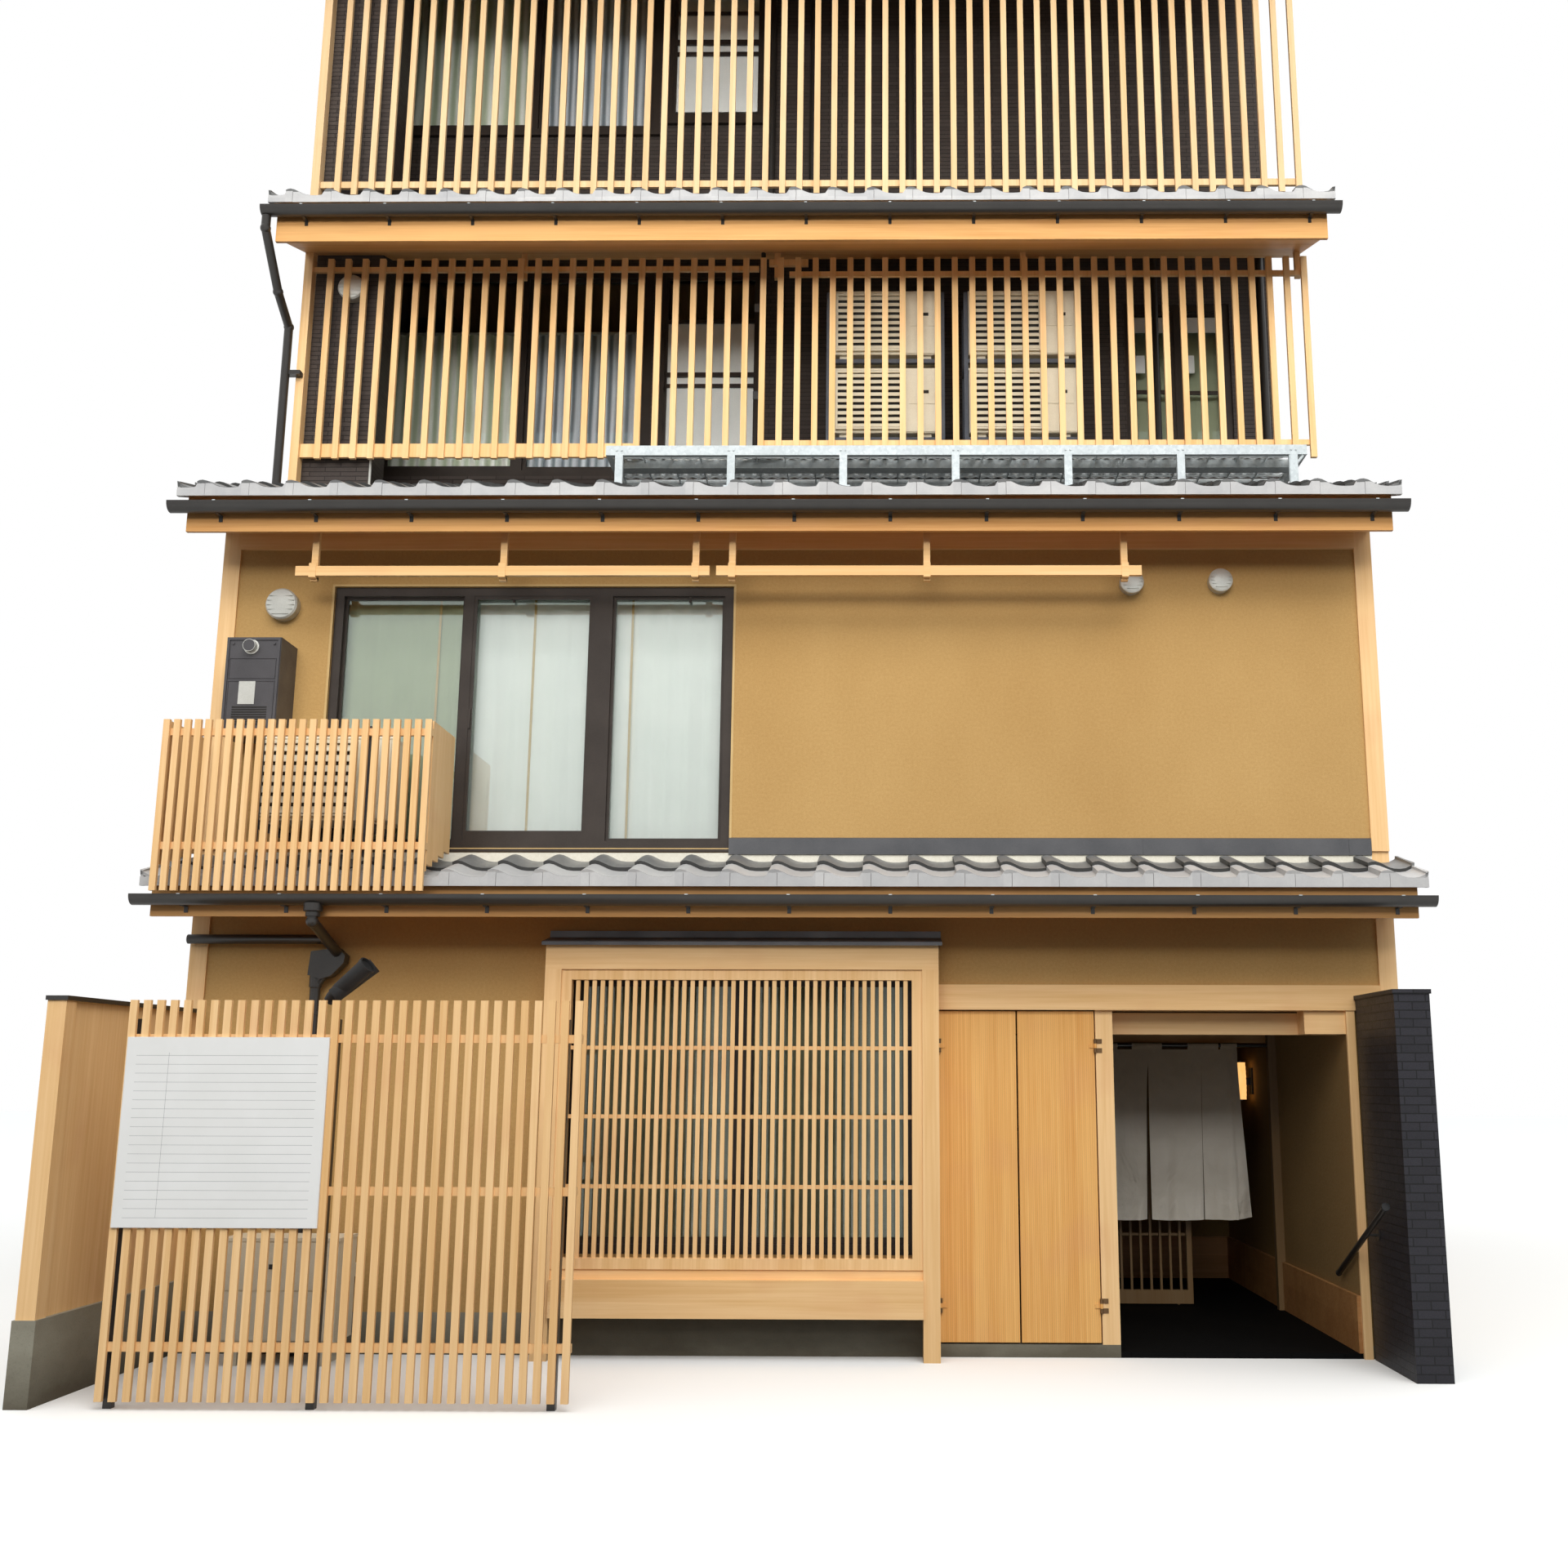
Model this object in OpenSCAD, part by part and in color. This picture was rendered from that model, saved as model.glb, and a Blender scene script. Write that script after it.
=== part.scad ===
// A four-storey townhouse on a narrow plot: timber lattices, tiled eaves, and
// a recessed entrance porch. Millimetres, +Z up, the street side faces -Y.
// The origin is at ground level, under the middle of the house.

/* [House] */
// Width between the outer faces of the party walls
house_w = 7140; // [6900:10:7600]
// Depth from the street wall to the back wall
house_d = 9000; // [8000:50:10000]
// Thickness of the outer walls
wall_t = 150; // [130:5:180]
// Distance of the third and fourth storeys behind the street wall
setback = 1980; // [1850:10:2100]
// Height of the concrete plinth
plinth_h = 230; // [180:5:280]
// Level of the ground floor slab
ground_floor_z = 70; // [50:5:100]
// Level of the second floor
second_floor_z = 2750; // [2700:5:2800]
// Level of the third floor
third_floor_z = 6000; // [5950:5:6100]
// Height from the third floor to the fourth
upper_storey_h = 2600; // [2550:5:2750]
// Thickness of the upper floors
floor_t = 150; // [120:5:180]

/* [Roofs] */
// Slope of the tiled roofs in degrees
roof_slope = 20; // [19:0.5:21]
// Width of one pantile course along the eave
tile_pitch = 270; // [240:5:300]
// Thickness of the roof below the hollows of the tiles
roof_t = 45; // [35:1:60]
// Height of the wave of the tiles
tile_wave_h = 40; // [25:1:50]
// How far the roofs pass the party walls
verge = 75; // [60:1:90]
// Shift of the roofs to the left of the walls' middle
roof_shift = 25; // [0:1:40]
// How far the lower eave stands out from the street wall
pent_run = 480; // [420:5:560]
// How far the main eave stands out from the street wall
main_run = 470; // [420:5:560]
// How far the upper eaves stand out from the set-back wall
upper_run = 1550; // [1500:10:1600]
// Height of the upper eaves above their storey's floor
upper_eave_rise = 1438; // [1400:2:1480]
// Distance of the fascia behind the front of the tiles
fascia_in = 30; // [25:1:45]
// Height of the lower eave's fascia below the tiles' foot
pent_fascia_h = 180; // [160:1:200]
// Height of the main eave's fascia below the tiles' foot
main_fascia_h = 218; // [200:1:235]
// Height of the upper eaves' fascias below the tiles' foot
upper_fascia_h = 275; // [250:1:295]
// Thickness of the fascia
fascia_t = 25; // [18:1:35]
// Height of the level soffits below the tiles' foot
soffit_drop = 45; // [35:1:60]
// Depth of the boxed soffits of the upper eaves
box_soffit_run = 820; // [780:5:860]
// Thickness of the soffit boards
soffit_t = 18; // [12:1:24]
// Width of the half-round gutters
gutter_d = 108; // [100:1:114]
// Height of the gutters' upright lips above their half-round
gutter_lip = 6; // [3:1:12]
// How far the gutters pass the ends of the roofs
gutter_end = 25; // [10:1:40]
// Wall thickness of the gutters
gutter_t = 4; // [3:0.5:6]
// Spacing of the gutter brackets
gutter_bracket_pitch = 572; // [450:2:700]
// Outer diameter of the downpipes
pipe_d = 60; // [50:1:70]

/* [Timber frame] */
// Width of the corner posts
post_w = 105; // [90:1:120]
// How far the corner posts stand proud of the plaster
post_proud = 15; // [8:1:25]
// Height of the beam under the main eave
eave_beam_h = 137; // [110:1:150]
// Underside of the lintel over the doors and the porch
lintel_z = 1940; // [1900:5:1960]
// Height of the lintel
lintel_h = 146; // [130:1:180]
// How far the lintel stands proud of the wall
lintel_proud = 30; // [20:1:40]

/* [Lattice bay] */
// Distance of the bay from the left party wall's outer face
bay_left = 2162; // [2100:5:2200]
// Width of the bay over its posts
bay_w = 2278; // [2200:2:2340]
// How far the bay stands out from the wall
bay_out = 200; // [160:5:260]
// Width of the bay's posts
bay_post_w = 95; // [80:1:110]
// Top of the bay's head beam
bay_top_z = 2300; // [2250:5:2350]
// Height of the bay's head beam
bay_head_h = 140; // [120:1:160]
// Depth of the frame round the bay's lattice
bay_frame_d = 60; // [45:1:80]
// Face width of the frame round the bay's lattice
bay_frame_w = 60; // [45:1:75]
// Foot of the bay's lattice
bay_lattice_z = 550; // [520:5:600]
// Top of the beam under the bay
bay_base_top_z = 437; // [420:1:450]
// Height of the beam under the bay
bay_base_h = 205; // [180:1:220]
// Face width of a lattice slat of the bay
bay_slat_w = 24; // [18:1:28]
// Spacing of the lattice slats of the bay
bay_slat_pitch = 47.4; // [42:0.2:56]

/* [Doors] */
// Width of each leaf of the store door
leaf_w = 449; // [430:1:460]
// Thickness of each leaf
leaf_t = 30; // [26:1:34]
// Running clearance round the leaves
leaf_gap = 7; // [6:0.5:9]
// Clearance between the two leaves where they meet
meeting_gap = 10; // [9:0.5:12]
// Width of the post between the store door and the porch
jamb_w = 101; // [85:1:110]
// Diameter of the hinge pins
hinge_pin_d = 8; // [6:0.5:10]
// Diameter of the hinge knuckles
hinge_d = 18; // [16:0.5:20]
// Height of one hinge knuckle
knuckle_h = 26; // [20:1:32]

/* [Porch] */
// Depth of the porch behind the street wall
porch_d = 3380; // [3200:10:3600]
// Distance of the porch's right wall from the right party wall's outer face
porch_right_in = 315; // [300:1:330]
// Thickness of the porch's inner walls
porch_wall_t = 98; // [85:1:110]
// Thickness of the porch floor
porch_floor_t = 30; // [20:1:40]
// Height of the wainscot
wainscot_h = 310; // [280:5:340]
// Thickness of the wainscot
wainscot_t = 22; // [16:1:28]
// Distance of the post in the porch's right wall behind the street wall
porch_post_y = 1655; // [1620:5:1700]
// How far the post in the porch's right wall stands proud of it
porch_post_proud = 55; // [40:1:65]
// Width of the lattice door as a share of the porch's width
lattice_door_share = 0.5617; // [0.545:0.0001:0.5617]
// Thickness of the lattice door
lattice_door_t = 34; // [28:1:40]
// Height of the noren's rod above the ground
rod_z = 1775; // [1750:1:1780]
// Diameter of the noren's rod
rod_d = 24; // [18:1:30]
// Length of the noren below its rod
noren_h = 1150; // [1050:5:1200]
// Width of the noren as a share of the porch's width
noren_share = 0.771; // [0.73:0.001:0.8]
// Thickness taken by the noren's folds
noren_t = 40; // [25:1:60]

/* [Street side pieces] */
// Depth of the entrance pillar
pillar_d = 690; // [600:5:760]
// Width of the entrance pillar
pillar_w = 194; // [180:1:205]
// Height of the entrance pillar without its cap
pillar_h = 2000; // [1950:5:2050]
// Distance of the fence in front of the street wall
fence_out = 1520; // [1450:5:1600]
// Distance of the fence from the left party wall's outer face
fence_left = 420; // [390:5:450]
// Width of the fence
fence_w = 2230; // [2100:5:2300]
// Top of the fence
fence_top_z = 1910; // [1850:5:2000]
// Face width of a fence slat
fence_slat_w = 36; // [30:1:42]
// Spacing of the fence slats
fence_slat_pitch = 66; // [58:1:74]
// Width of the notice board
board_w = 980; // [900:5:1050]
// Height of the notice board
board_h = 890; // [800:5:950]
// Height of the wing wall's concrete footing
wing_footing_h = 400; // [350:5:450]
// Thickness of the wing wall
wing_t = 95; // [85:1:105]

/* [Upper lattices] */
// Distance of the upper screens behind the street wall
screen_in = 980; // [950:5:1010]
// Face width of an upper screen slat
screen_slat_w = 42; // [34:1:50]
// Depth of an upper screen slat
screen_slat_d = 30; // [24:1:38]
// Spacing of the upper screen slats
screen_slat_pitch = 124; // [110:1:140]
// Width of the screens' end posts
screen_post_w = 58; // [50:1:75]
// Depth of the screens' end posts
screen_post_d = 80; // [70:1:100]
// Width of the lattice box over the lower eave
box_w = 1540; // [1450:5:1600]
// Distance of the lattice box's face in front of the street wall
box_out = 600; // [590:1:620]
// Face width of a slat of the lattice box
box_slat_w = 36; // [30:1:42]
// Spacing of the slats of the lattice box
box_slat_pitch = 58; // [50:1:66]

/* [Balcony shaft] */
// Width of the clad shaft at the left end of the balconies
shaft_w = 480; // [440:5:520]
// Depth of the shaft
shaft_d = 300; // [270:5:330]
// Distance of the shaft's front behind the face of the screens
shaft_in = 100; // [92:1:130]

/* [Hidden] */

// Seat clearance of a piece that lies on a wavy or curved neighbour
seat = 0.3;

// Left and right outer faces of the house, and a place across its width, given
// as the distance from the left face of a house of the usual width
left_x = -house_w / 2;
right_x = house_w / 2;
function across(distance) = left_x + distance * house_w / 7140;

// Levels
fourth_floor_z = third_floor_z + upper_storey_h;
lower_wall_top = third_floor_z - floor_t;
lintel_top = lintel_z + lintel_h;

// Roofs: [distance of the eave from the street wall, height of the tiles' foot there]
rise = tan(roof_slope);
pent_eave = [-pent_run, second_floor_z + 42 - pent_run * rise];
main_eave = [-main_run, lower_wall_top - (setback + main_run) * rise];
upper_eave = [setback - upper_run, third_floor_z + upper_eave_rise];
top_eave = [setback - upper_run, fourth_floor_z + upper_eave_rise];
back_overhang = 450;
ridge_y = (top_eave[0] + house_d + back_overhang) / 2;
roof_w = house_w + 2 * verge;
tiles = round(roof_w / tile_pitch);
crest_h = (roof_t + tile_wave_h) / cos(roof_slope) + seat;
function under(eave, y) = eave[1] + (y - eave[0]) * rise;
function crest(eave, y) = under(eave, y) + crest_h;
function top_under(y) = y < ridge_y
    ? under(top_eave, y)
    : under(top_eave, 2 * ridge_y - y);

// Fascias, soffits and gutters
eave_w = house_w + 50;
main_soffit_z = main_eave[1] - soffit_drop;
gutter_y = -36;
gutter_top = -65;
gutter_h = gutter_d / 2 + gutter_lip;
gutter_w = roof_w + 2 * gutter_end;
function box_soffit(eave, y) = eave[1] - upper_fascia_h + 15 + (y - eave[0]) * rise;

// Bay, doors and porch across the street side
bay_x = left_x + bay_left;
bay_right = bay_x + bay_w;
leaf_left_x = bay_right + leaf_gap;
door_w = 2 * (leaf_w + leaf_gap) + meeting_gap;
jamb_x = bay_right + door_w;
porch_x = jamb_x + jamb_w;
porch_right = right_x - porch_right_in;
porch_w = porch_right - porch_x;
leaf_z = ground_floor_z + 10;
leaf_h = lintel_z - leaf_z - leaf_gap;
hinge_out = hinge_d / 2 + 0.5;
hinge_left_x = bay_right + hinge_d / 2 + 1;
hinge_right_x = jamb_x - leaf_gap / 2;
hinge_zs = [leaf_z + 200, leaf_z + leaf_h - 200];

// Lattice door
lattice_door_w = lattice_door_share * porch_w;
lattice_door_z = porch_floor_t + 10;
lattice_door_top = lintel_z - 150;
lattice_door_y = porch_post_y + 215;
rod_y = porch_post_y + 25;
noren_w = noren_share * porch_w;
noren_right = porch_right - 0.1535 * porch_w;
lattice_door_x = porch_x + 12;

// Street side pieces
pillar_x = porch_right + 55;
pillar_back_y = -lintel_proud;
fence_x = left_x + fence_left;
fence_post_w = 40;
fence_rail_d = 30;
fence_slat_d = 20;
fence_slat_y = -fence_out - fence_slat_d;

// Windows on the street side: [left edge, sill, width, height, mullions], where
// a mullion is [its middle from the left edge, its width]
frame_w = 55;
frame_d = 90;
mullion_d = 40;
frame_in = 20;
glass_t = 6;
half = [[825, 48]];
second_window = [left_x + 707, second_floor_z + 140, 2485, 1650, [[837, 60], [1669, 124]]];
third_windows = [
    [left_x + 200, third_floor_z + 80, 2110, 1720, [[1095, 60]]],
    [left_x + 2350, third_floor_z + 80, 830, 1720, []],
    [right_x - 1150, third_floor_z + 180, 820, 1320, [[410, 48]]]
];
fourth_windows = [
    [left_x + 200, fourth_floor_z + 400, 2110, 1400, [[1095, 60]]],
    [left_x + 2350, fourth_floor_z + 500, 830, 1300, []]
];
// Windows of the back: the same storeys, mirrored
back_windows = [
    [right_x - 707 - 1650, ground_floor_z + 900, 1650, 1100, half],
    [left_x + 707, ground_floor_z + 900, 1650, 1100, half],
    [right_x - 707 - 1650, second_floor_z + 900, 1650, 1100, half],
    [left_x + 707, second_floor_z + 900, 1650, 1100, half]
];
upper_back_windows = [
    [right_x - 707 - 1650, third_floor_z + 900, 1650, 1100, half],
    [left_x + 707, third_floor_z + 900, 1650, 1100, half],
    [right_x - 707 - 1650, fourth_floor_z + 400, 1650, 900, half],
    [left_x + 707, fourth_floor_z + 400, 1650, 900, half]
];
bay_window = [bay_x + bay_post_w + 20, bay_lattice_z, bay_w - 2 * bay_post_w - 40,
    bay_top_z - bay_head_h - bay_lattice_z, [[bay_w / 2 - bay_post_w - 20, 48]]];

// Upper screens
screen_y = screen_in;
screen_rail_d = 24;
third_screen_foot = third_floor_z - 195;
third_screen_top = third_floor_z + 1330;
fourth_screen_foot = fourth_floor_z - 760;
fourth_screen_top = fourth_floor_z + 1330;
gate_x = left_x + 2400;
gate_post_x = left_x + 3250;

// Roof platform
deck_z = third_floor_z - 240;
deck_h = 70;
deck_front = screen_in - 150;
deck_back = main_eave[0] + (deck_z - seat - main_eave[1] - crest_h) / rise;
deck_left = left_x + 2201;
deck_right = right_x - 115;
deck_bar = 40;
deck_post_w = 53;
deck_post_in = 66;

// Lattice box
box_y = -box_out;
box_top_z = second_floor_z + 802;
box_foot_z = pent_eave[1] - 51;
box_slat_d = 24;
box_rail_d = 28;
box_side_t = 20;
box_side_d = 490;

// Colours
cypress = [0.87, 0.66, 0.40];
pale_cypress = [0.92, 0.74, 0.50];
shaded_timber = [0.55, 0.36, 0.20];
ochre = [0.66, 0.50, 0.26];
dark_siding = [0.19, 0.15, 0.14];
dark_brown = [0.16, 0.11, 0.09];
tile_grey = [0.55, 0.56, 0.58];
concrete = [0.55, 0.54, 0.51];
steel_dark = [0.10, 0.10, 0.10];
galvanised = [0.68, 0.70, 0.71];
glass_colour = [0.60, 0.72, 0.68, 0.5];

// Moves a piece from the street wall's own frame, where y = 0 is the plaster
// face and +y runs into the house, to the frame of the whole house.
module street() {
    translate([0, -house_d / 2, 0]) children();
}

// A box between two corners
module block(low, high) {
    translate(low) cube(high - low);
}

// A profile of (y, z) points, run along X
module along_x(x, length, points) {
    translate([x, 0, 0]) rotate([90, 0, 90]) linear_extrude(length) polygon(points);
}

// A profile drawn in X and Z, run back along Y from y
module along_y(y, depth) {
    translate([0, y + depth, 0]) rotate([90, 0, 0]) linear_extrude(depth) children();
}

// Flat rectangle by its corners
module rectangle(low, high) {
    translate(low) square(high - low);
}

// Height of the pantile wave at a share t of one tile: a narrow roll, a wide hollow
function tile_wave(t) = pow(0.5 + 0.5 * cos(360 * (t + 0.07 * sin(360 * t))), 1.3);

// Cross-section of a tiled roof across its width
function tile_profile(steps) = let (pitch = roof_w / tiles)
    concat(
        [[-roof_w / 2, 0]],
        [for (i = [0 : tiles - 1], s = [0 : steps - 1])
            [-roof_w / 2 + (i + s / steps) * pitch, roof_t + tile_wave_h * tile_wave(s / steps)]],
        [[roof_w / 2, roof_t + tile_wave_h]],
        [[roof_w / 2, 0]]
    );

// Tiled slope from its eave up to a vertical plane a given run behind it
module tile_slope(run) {
    length = run / cos(roof_slope) + 60;
    intersection() {
        rotate([roof_slope, 0, 0]) along_y(0, length) polygon(tile_profile(10));
        block([-roof_w, -200, -100], [roof_w, run, run]);
    }
}

module roof_at(eave, run) {
    color(tile_grey) street() translate([-roof_shift, eave[0], eave[1] + seat])
        tile_slope(run);
}

// Fascia and level soffit under one eave, back to y, with a board at each end
module level_eave(eave, fascia_h, y) {
    front = eave[0] + fascia_in;
    back = front + fascia_t;
    soffit = eave[1] - soffit_drop;
    x = -roof_shift - eave_w / 2;
    along_x(x, eave_w, [
        [front, eave[1] - fascia_h], [back, eave[1] - fascia_h], [back, soffit], [y, soffit],
        [y, soffit + soffit_t], [back, soffit + soffit_t],
        [back, under(eave, back)], [front, under(eave, front)]
    ]);
    for (end = [x, x + eave_w - fascia_t])
        along_x(end, fascia_t, [
            [back - 1, soffit], [y, soffit], [y, under(eave, y)],
            [back - 1, under(eave, back - 1)]
        ]);
}

// Boxed eave: fascia, a soffit that follows the roof's slope, a closing board
// behind it and a board at each end
module boxed_eave(eave) {
    front = eave[0] + fascia_in;
    back = front + box_soffit_run;
    x = -roof_shift - eave_w / 2;
    outline = [
        [front, eave[1] - upper_fascia_h], [front + fascia_t, eave[1] - upper_fascia_h],
        [front + fascia_t, box_soffit(eave, front + fascia_t)], [back, box_soffit(eave, back)],
        [back, under(eave, back)], [front, under(eave, front)]
    ];
    inner = [
        [front + fascia_t, box_soffit(eave, front + fascia_t) + soffit_t],
        [back - soffit_t, box_soffit(eave, back - soffit_t) + soffit_t],
        [back - soffit_t, under(eave, back) + 50], [front + fascia_t, under(eave, front) + 50]
    ];
    difference() {
        along_x(x, eave_w, outline);
        along_x(x + fascia_t, eave_w - 2 * fascia_t, inner);
    }
}

// Cross-section of a gutter's outside, drawn in by t, up to a given height over
// the middle of its half-round
module gutter_section(t, top) {
    r = gutter_d / 2 - t;
    intersection() {
        union() {
            circle(r = r, $fn = 32);
            translate([-r, 0]) square([2 * r, gutter_d]);
        }
        translate([-gutter_d, -gutter_d]) square([2 * gutter_d, gutter_d + top]);
    }
}

// Gutter with its end caps and the straps that hold it to the fascia
module gutter(eave) {
    y = eave[0] + gutter_y;
    z = eave[1] + gutter_top - gutter_lip;
    foot = z - gutter_d / 2;
    face = eave[0] + fascia_in;
    bracket_in = 195;
    count = floor((gutter_w - 2 * bracket_in) / gutter_bracket_pitch);
    translate([-roof_shift - gutter_w / 2, y, z]) rotate([90, 0, 90]) {
        linear_extrude(gutter_w) difference() {
            gutter_section(0, gutter_lip);
            gutter_section(gutter_t, gutter_lip + 1);
        }
        for (end = [0, gutter_w - gutter_t])
            translate([0, 0, end]) linear_extrude(gutter_t) gutter_section(0, gutter_lip);
    }
    for (i = [0 : count]) {
        x = gutter_w / 2 - bracket_in - i * gutter_bracket_pitch - roof_shift;
        block([x - 11, y, foot - 3], [x + 11, face, foot + 3]);
        block([x - 11, face - 5, foot - 35], [x + 11, face, foot + 3]);
    }
}

// Round pipe through a list of points, with a round collar at each bend
module pipe_run(points, d) {
    for (i = [0 : len(points) - 2]) {
        way = points[i + 1] - points[i];
        translate(points[i]) rotate([0, acos(way[2] / norm(way)), atan2(way[1], way[0])])
            cylinder(d = d, h = norm(way), $fn = 24);
        if (i > 0) translate(points[i]) sphere(d = d + 10, $fn = 32);
    }
}

// Window frame with mullions, in the plane of the wall that faces -y at wall_y
module window_frame(w, wall_y) {
    low = [w[0], w[1]];
    high = [w[0] + w[2], w[1] + w[3]];
    inner = [frame_w, frame_w];
    along_y(wall_y + frame_in, frame_d) difference() {
        rectangle(low, high);
        rectangle(low + inner, high - inner);
    }
    for (m = w[4])
        block([w[0] + m[0] - m[1] / 2, wall_y + frame_in, low[1] + frame_w - 1],
            [w[0] + m[0] + m[1] / 2, wall_y + frame_in + mullion_d, high[1] - frame_w + 1]);
}

// Opening for a window, cut right through a wall
module window_hole(w, wall_y) {
    block([w[0], wall_y - 10, w[1]], [w[0] + w[2], wall_y + wall_t + 10, w[1] + w[3]]);
}

// Sheet of glass behind a window's mullions
module window_pane(w, wall_y) {
    y = wall_y + frame_in + mullion_d + 2;
    block([w[0] + frame_w, y, w[1] + frame_w],
        [w[0] + w[2] - frame_w, y + glass_t, w[1] + w[3] - frame_w]);
}

// Row of upright slats between two x places, centred, with a slat at each end
module slats(from, to, pitch, width, low_z, high_z, y, depth) {
    count = floor((to - from - width) / pitch);
    step = (to - from - width) / count;
    for (i = [0 : count])
        block([from + i * step, y, low_z], [from + i * step + width, y + depth, high_z]);
}

// Level rail behind a row of slats; it is let into them by a millimetre
module rail(from, to, z, height, y, depth) {
    block([from, y - 1, z - height / 2], [to, y + depth, z + height / 2]);
}

module foundation() {
    hole_low = [porch_x, -10, -1];
    hole_high = [porch_right, porch_d, plinth_h + 1];
    color(concrete) street() {
        difference() {
            union() {
                block([left_x, 0, 0], [right_x, house_d, ground_floor_z]);
                block([left_x, 0, 0], [bay_right, wall_t, plinth_h]);
                block([right_x - post_w, 0, 0], [right_x, wall_t, plinth_h]);
                for (x = [left_x, right_x - wall_t])
                    block([x, wall_t, 0], [x + wall_t, house_d, plinth_h]);
                block([left_x, house_d - wall_t, 0], [right_x, house_d, plinth_h]);
            }
            block(hole_low, hole_high);
        }
        block([left_x - 10, -fence_out - 10, 0], [left_x + wing_t + 10, -post_proud, wing_footing_h]);
    }
}

module porch_floor() {
    color([0.12, 0.12, 0.11]) street()
        block([porch_x, 0, 0], [porch_right, porch_d, porch_floor_t]);
}

module upper_floors() {
    x = right_x - wall_t;
    color(shaded_timber) street() {
        block([-x, wall_t, second_floor_z - floor_t], [x, house_d - wall_t, second_floor_z]);
        for (z = [third_floor_z, fourth_floor_z])
            block([-x, setback + wall_t, z - floor_t], [x, house_d - wall_t, z]);
    }
}

module ground_wall_left() {
    color(ochre) street() difference() {
        block([left_x + post_w, 0, plinth_h], [bay_right, wall_t, second_floor_z - floor_t]);
        window_hole(bay_window, 0);
    }
}

module ground_wall_right() {
    color(ochre) street()
        block([bay_right, 0, lintel_top], [right_x - post_w, wall_t, second_floor_z - floor_t]);
}

module second_front_wall() {
    low = second_floor_z - floor_t;
    color(ochre) street() difference() {
        along_x(left_x + post_w, house_w - 2 * post_w, [
            [0, low], [wall_t, low], [wall_t, under(main_eave, wall_t)], [0, under(main_eave, 0)]
        ]);
        window_hole(second_window, 0);
    }
}

module upper_front_wall() {
    color(dark_siding) street() difference() {
        along_x(left_x, house_w, [
            [setback, lower_wall_top], [setback + wall_t, lower_wall_top],
            [setback + wall_t, top_under(setback + wall_t)], [setback, top_under(setback)]
        ]);
        for (w = concat(third_windows, fourth_windows)) window_hole(w, setback);
    }
}

// Shaft at the left end of the balconies and the side wall that joins it to the
// set-back wall, in two storeys between the roofs
module balcony_shaft() {
    front = screen_in + shaft_in;
    shaft_back = front + shaft_d;
    color(dark_siding) street() {
        for (eaves = [[main_eave, upper_eave], [upper_eave, top_eave]]) {
            shaft_part(left_x, shaft_w, front, shaft_back, eaves);
            shaft_part(left_x, wall_t, shaft_back - 1, setback, eaves);
        }
    }
}

// Part of the shaft from y to back, under the boxed soffit and the open roof
module shaft_part(x, width, y, back, eaves) {
    box_back = eaves[1][0] + fascia_in + box_soffit_run + seat;
    edge = max(box_back, y);
    along_x(x, width, concat(
        [[y, crest(eaves[0], y) + seat], [back, crest(eaves[0], back) + seat],
            [back, under(eaves[1], back)], [edge, under(eaves[1], edge)]],
        y < box_back
            ? [[edge, box_soffit(eaves[1], edge) - seat], [y, box_soffit(eaves[1], y) - seat]]
            : []
    ));
}

module party_walls() {
    back = house_d - wall_t;
    color(ochre) street() for (x = [left_x, right_x - wall_t])
        along_x(x, wall_t, [
            [wall_t, plinth_h], [back, plinth_h], [back, lower_wall_top],
            [setback, lower_wall_top], [setback, under(main_eave, setback)],
            [wall_t, under(main_eave, wall_t)]
        ]);
}

module upper_side_walls() {
    front = setback + wall_t;
    back = house_d - wall_t;
    color(dark_siding) street() for (x = [left_x, right_x - wall_t])
        along_x(x, wall_t, [
            [front, lower_wall_top], [back, lower_wall_top], [back, top_under(back)],
            [ridge_y, top_under(ridge_y)], [front, top_under(front)]
        ]);
}

module lower_back_wall() {
    y = house_d - wall_t;
    color(ochre) street() difference() {
        block([left_x, y, plinth_h], [right_x, house_d, lower_wall_top]);
        for (w = back_windows) window_hole(w, y);
    }
}

module upper_back_wall() {
    y = house_d - wall_t;
    color(dark_siding) street() difference() {
        along_x(left_x, house_w, [
            [y, lower_wall_top], [house_d, lower_wall_top],
            [house_d, top_under(house_d)], [y, top_under(y)]
        ]);
        for (w = upper_back_windows) window_hole(w, y);
    }
}

// Two corner posts, proud of the plaster below and above the lower eave, and
// the jamb post beside the porch
module front_posts() {
    color(cypress) street() {
        for (x = [left_x, right_x - post_w]) {
            along_x(x, post_w, [
                [0, plinth_h], [wall_t, plinth_h],
                [wall_t, under(main_eave, wall_t)], [0, under(main_eave, 0)]
            ]);
            block([x, -post_proud, plinth_h], [x + post_w, 1, pent_eave[1] - soffit_drop]);
            block([x, -post_proud, crest(pent_eave, 0)], [x + post_w, 1, main_soffit_z]);
        }
        block([jamb_x, 0, ground_floor_z], [porch_x, wall_t, lintel_z]);
    }
}

// Beam under the main eave, the lintel over doors and porch, the porch's own
// lintel with its end block, and the lattice door's head
module timber_beams() {
    inner_z = lintel_z - 136;
    color(cypress) street() {
        block([left_x + post_w, -25, main_soffit_z - eave_beam_h],
            [right_x - post_w, 0, main_soffit_z]);
        block([bay_right, -lintel_proud, lintel_z], [right_x - post_w, 0, lintel_top]);
        block([bay_right, -1, lintel_z], [right_x - post_w, wall_t, lintel_top]);
        block([porch_x, wall_t - 1, inner_z], [porch_right, wall_t + 100, lintel_z - 10]);
        block([porch_right - 240, 0, inner_z], [porch_right, wall_t, lintel_z + 1]);
        block([porch_x, lattice_door_y - 10, lattice_door_top + 10],
            [porch_right, lattice_door_y + lattice_door_t + 20, lintel_z]);
    }
}

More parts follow.
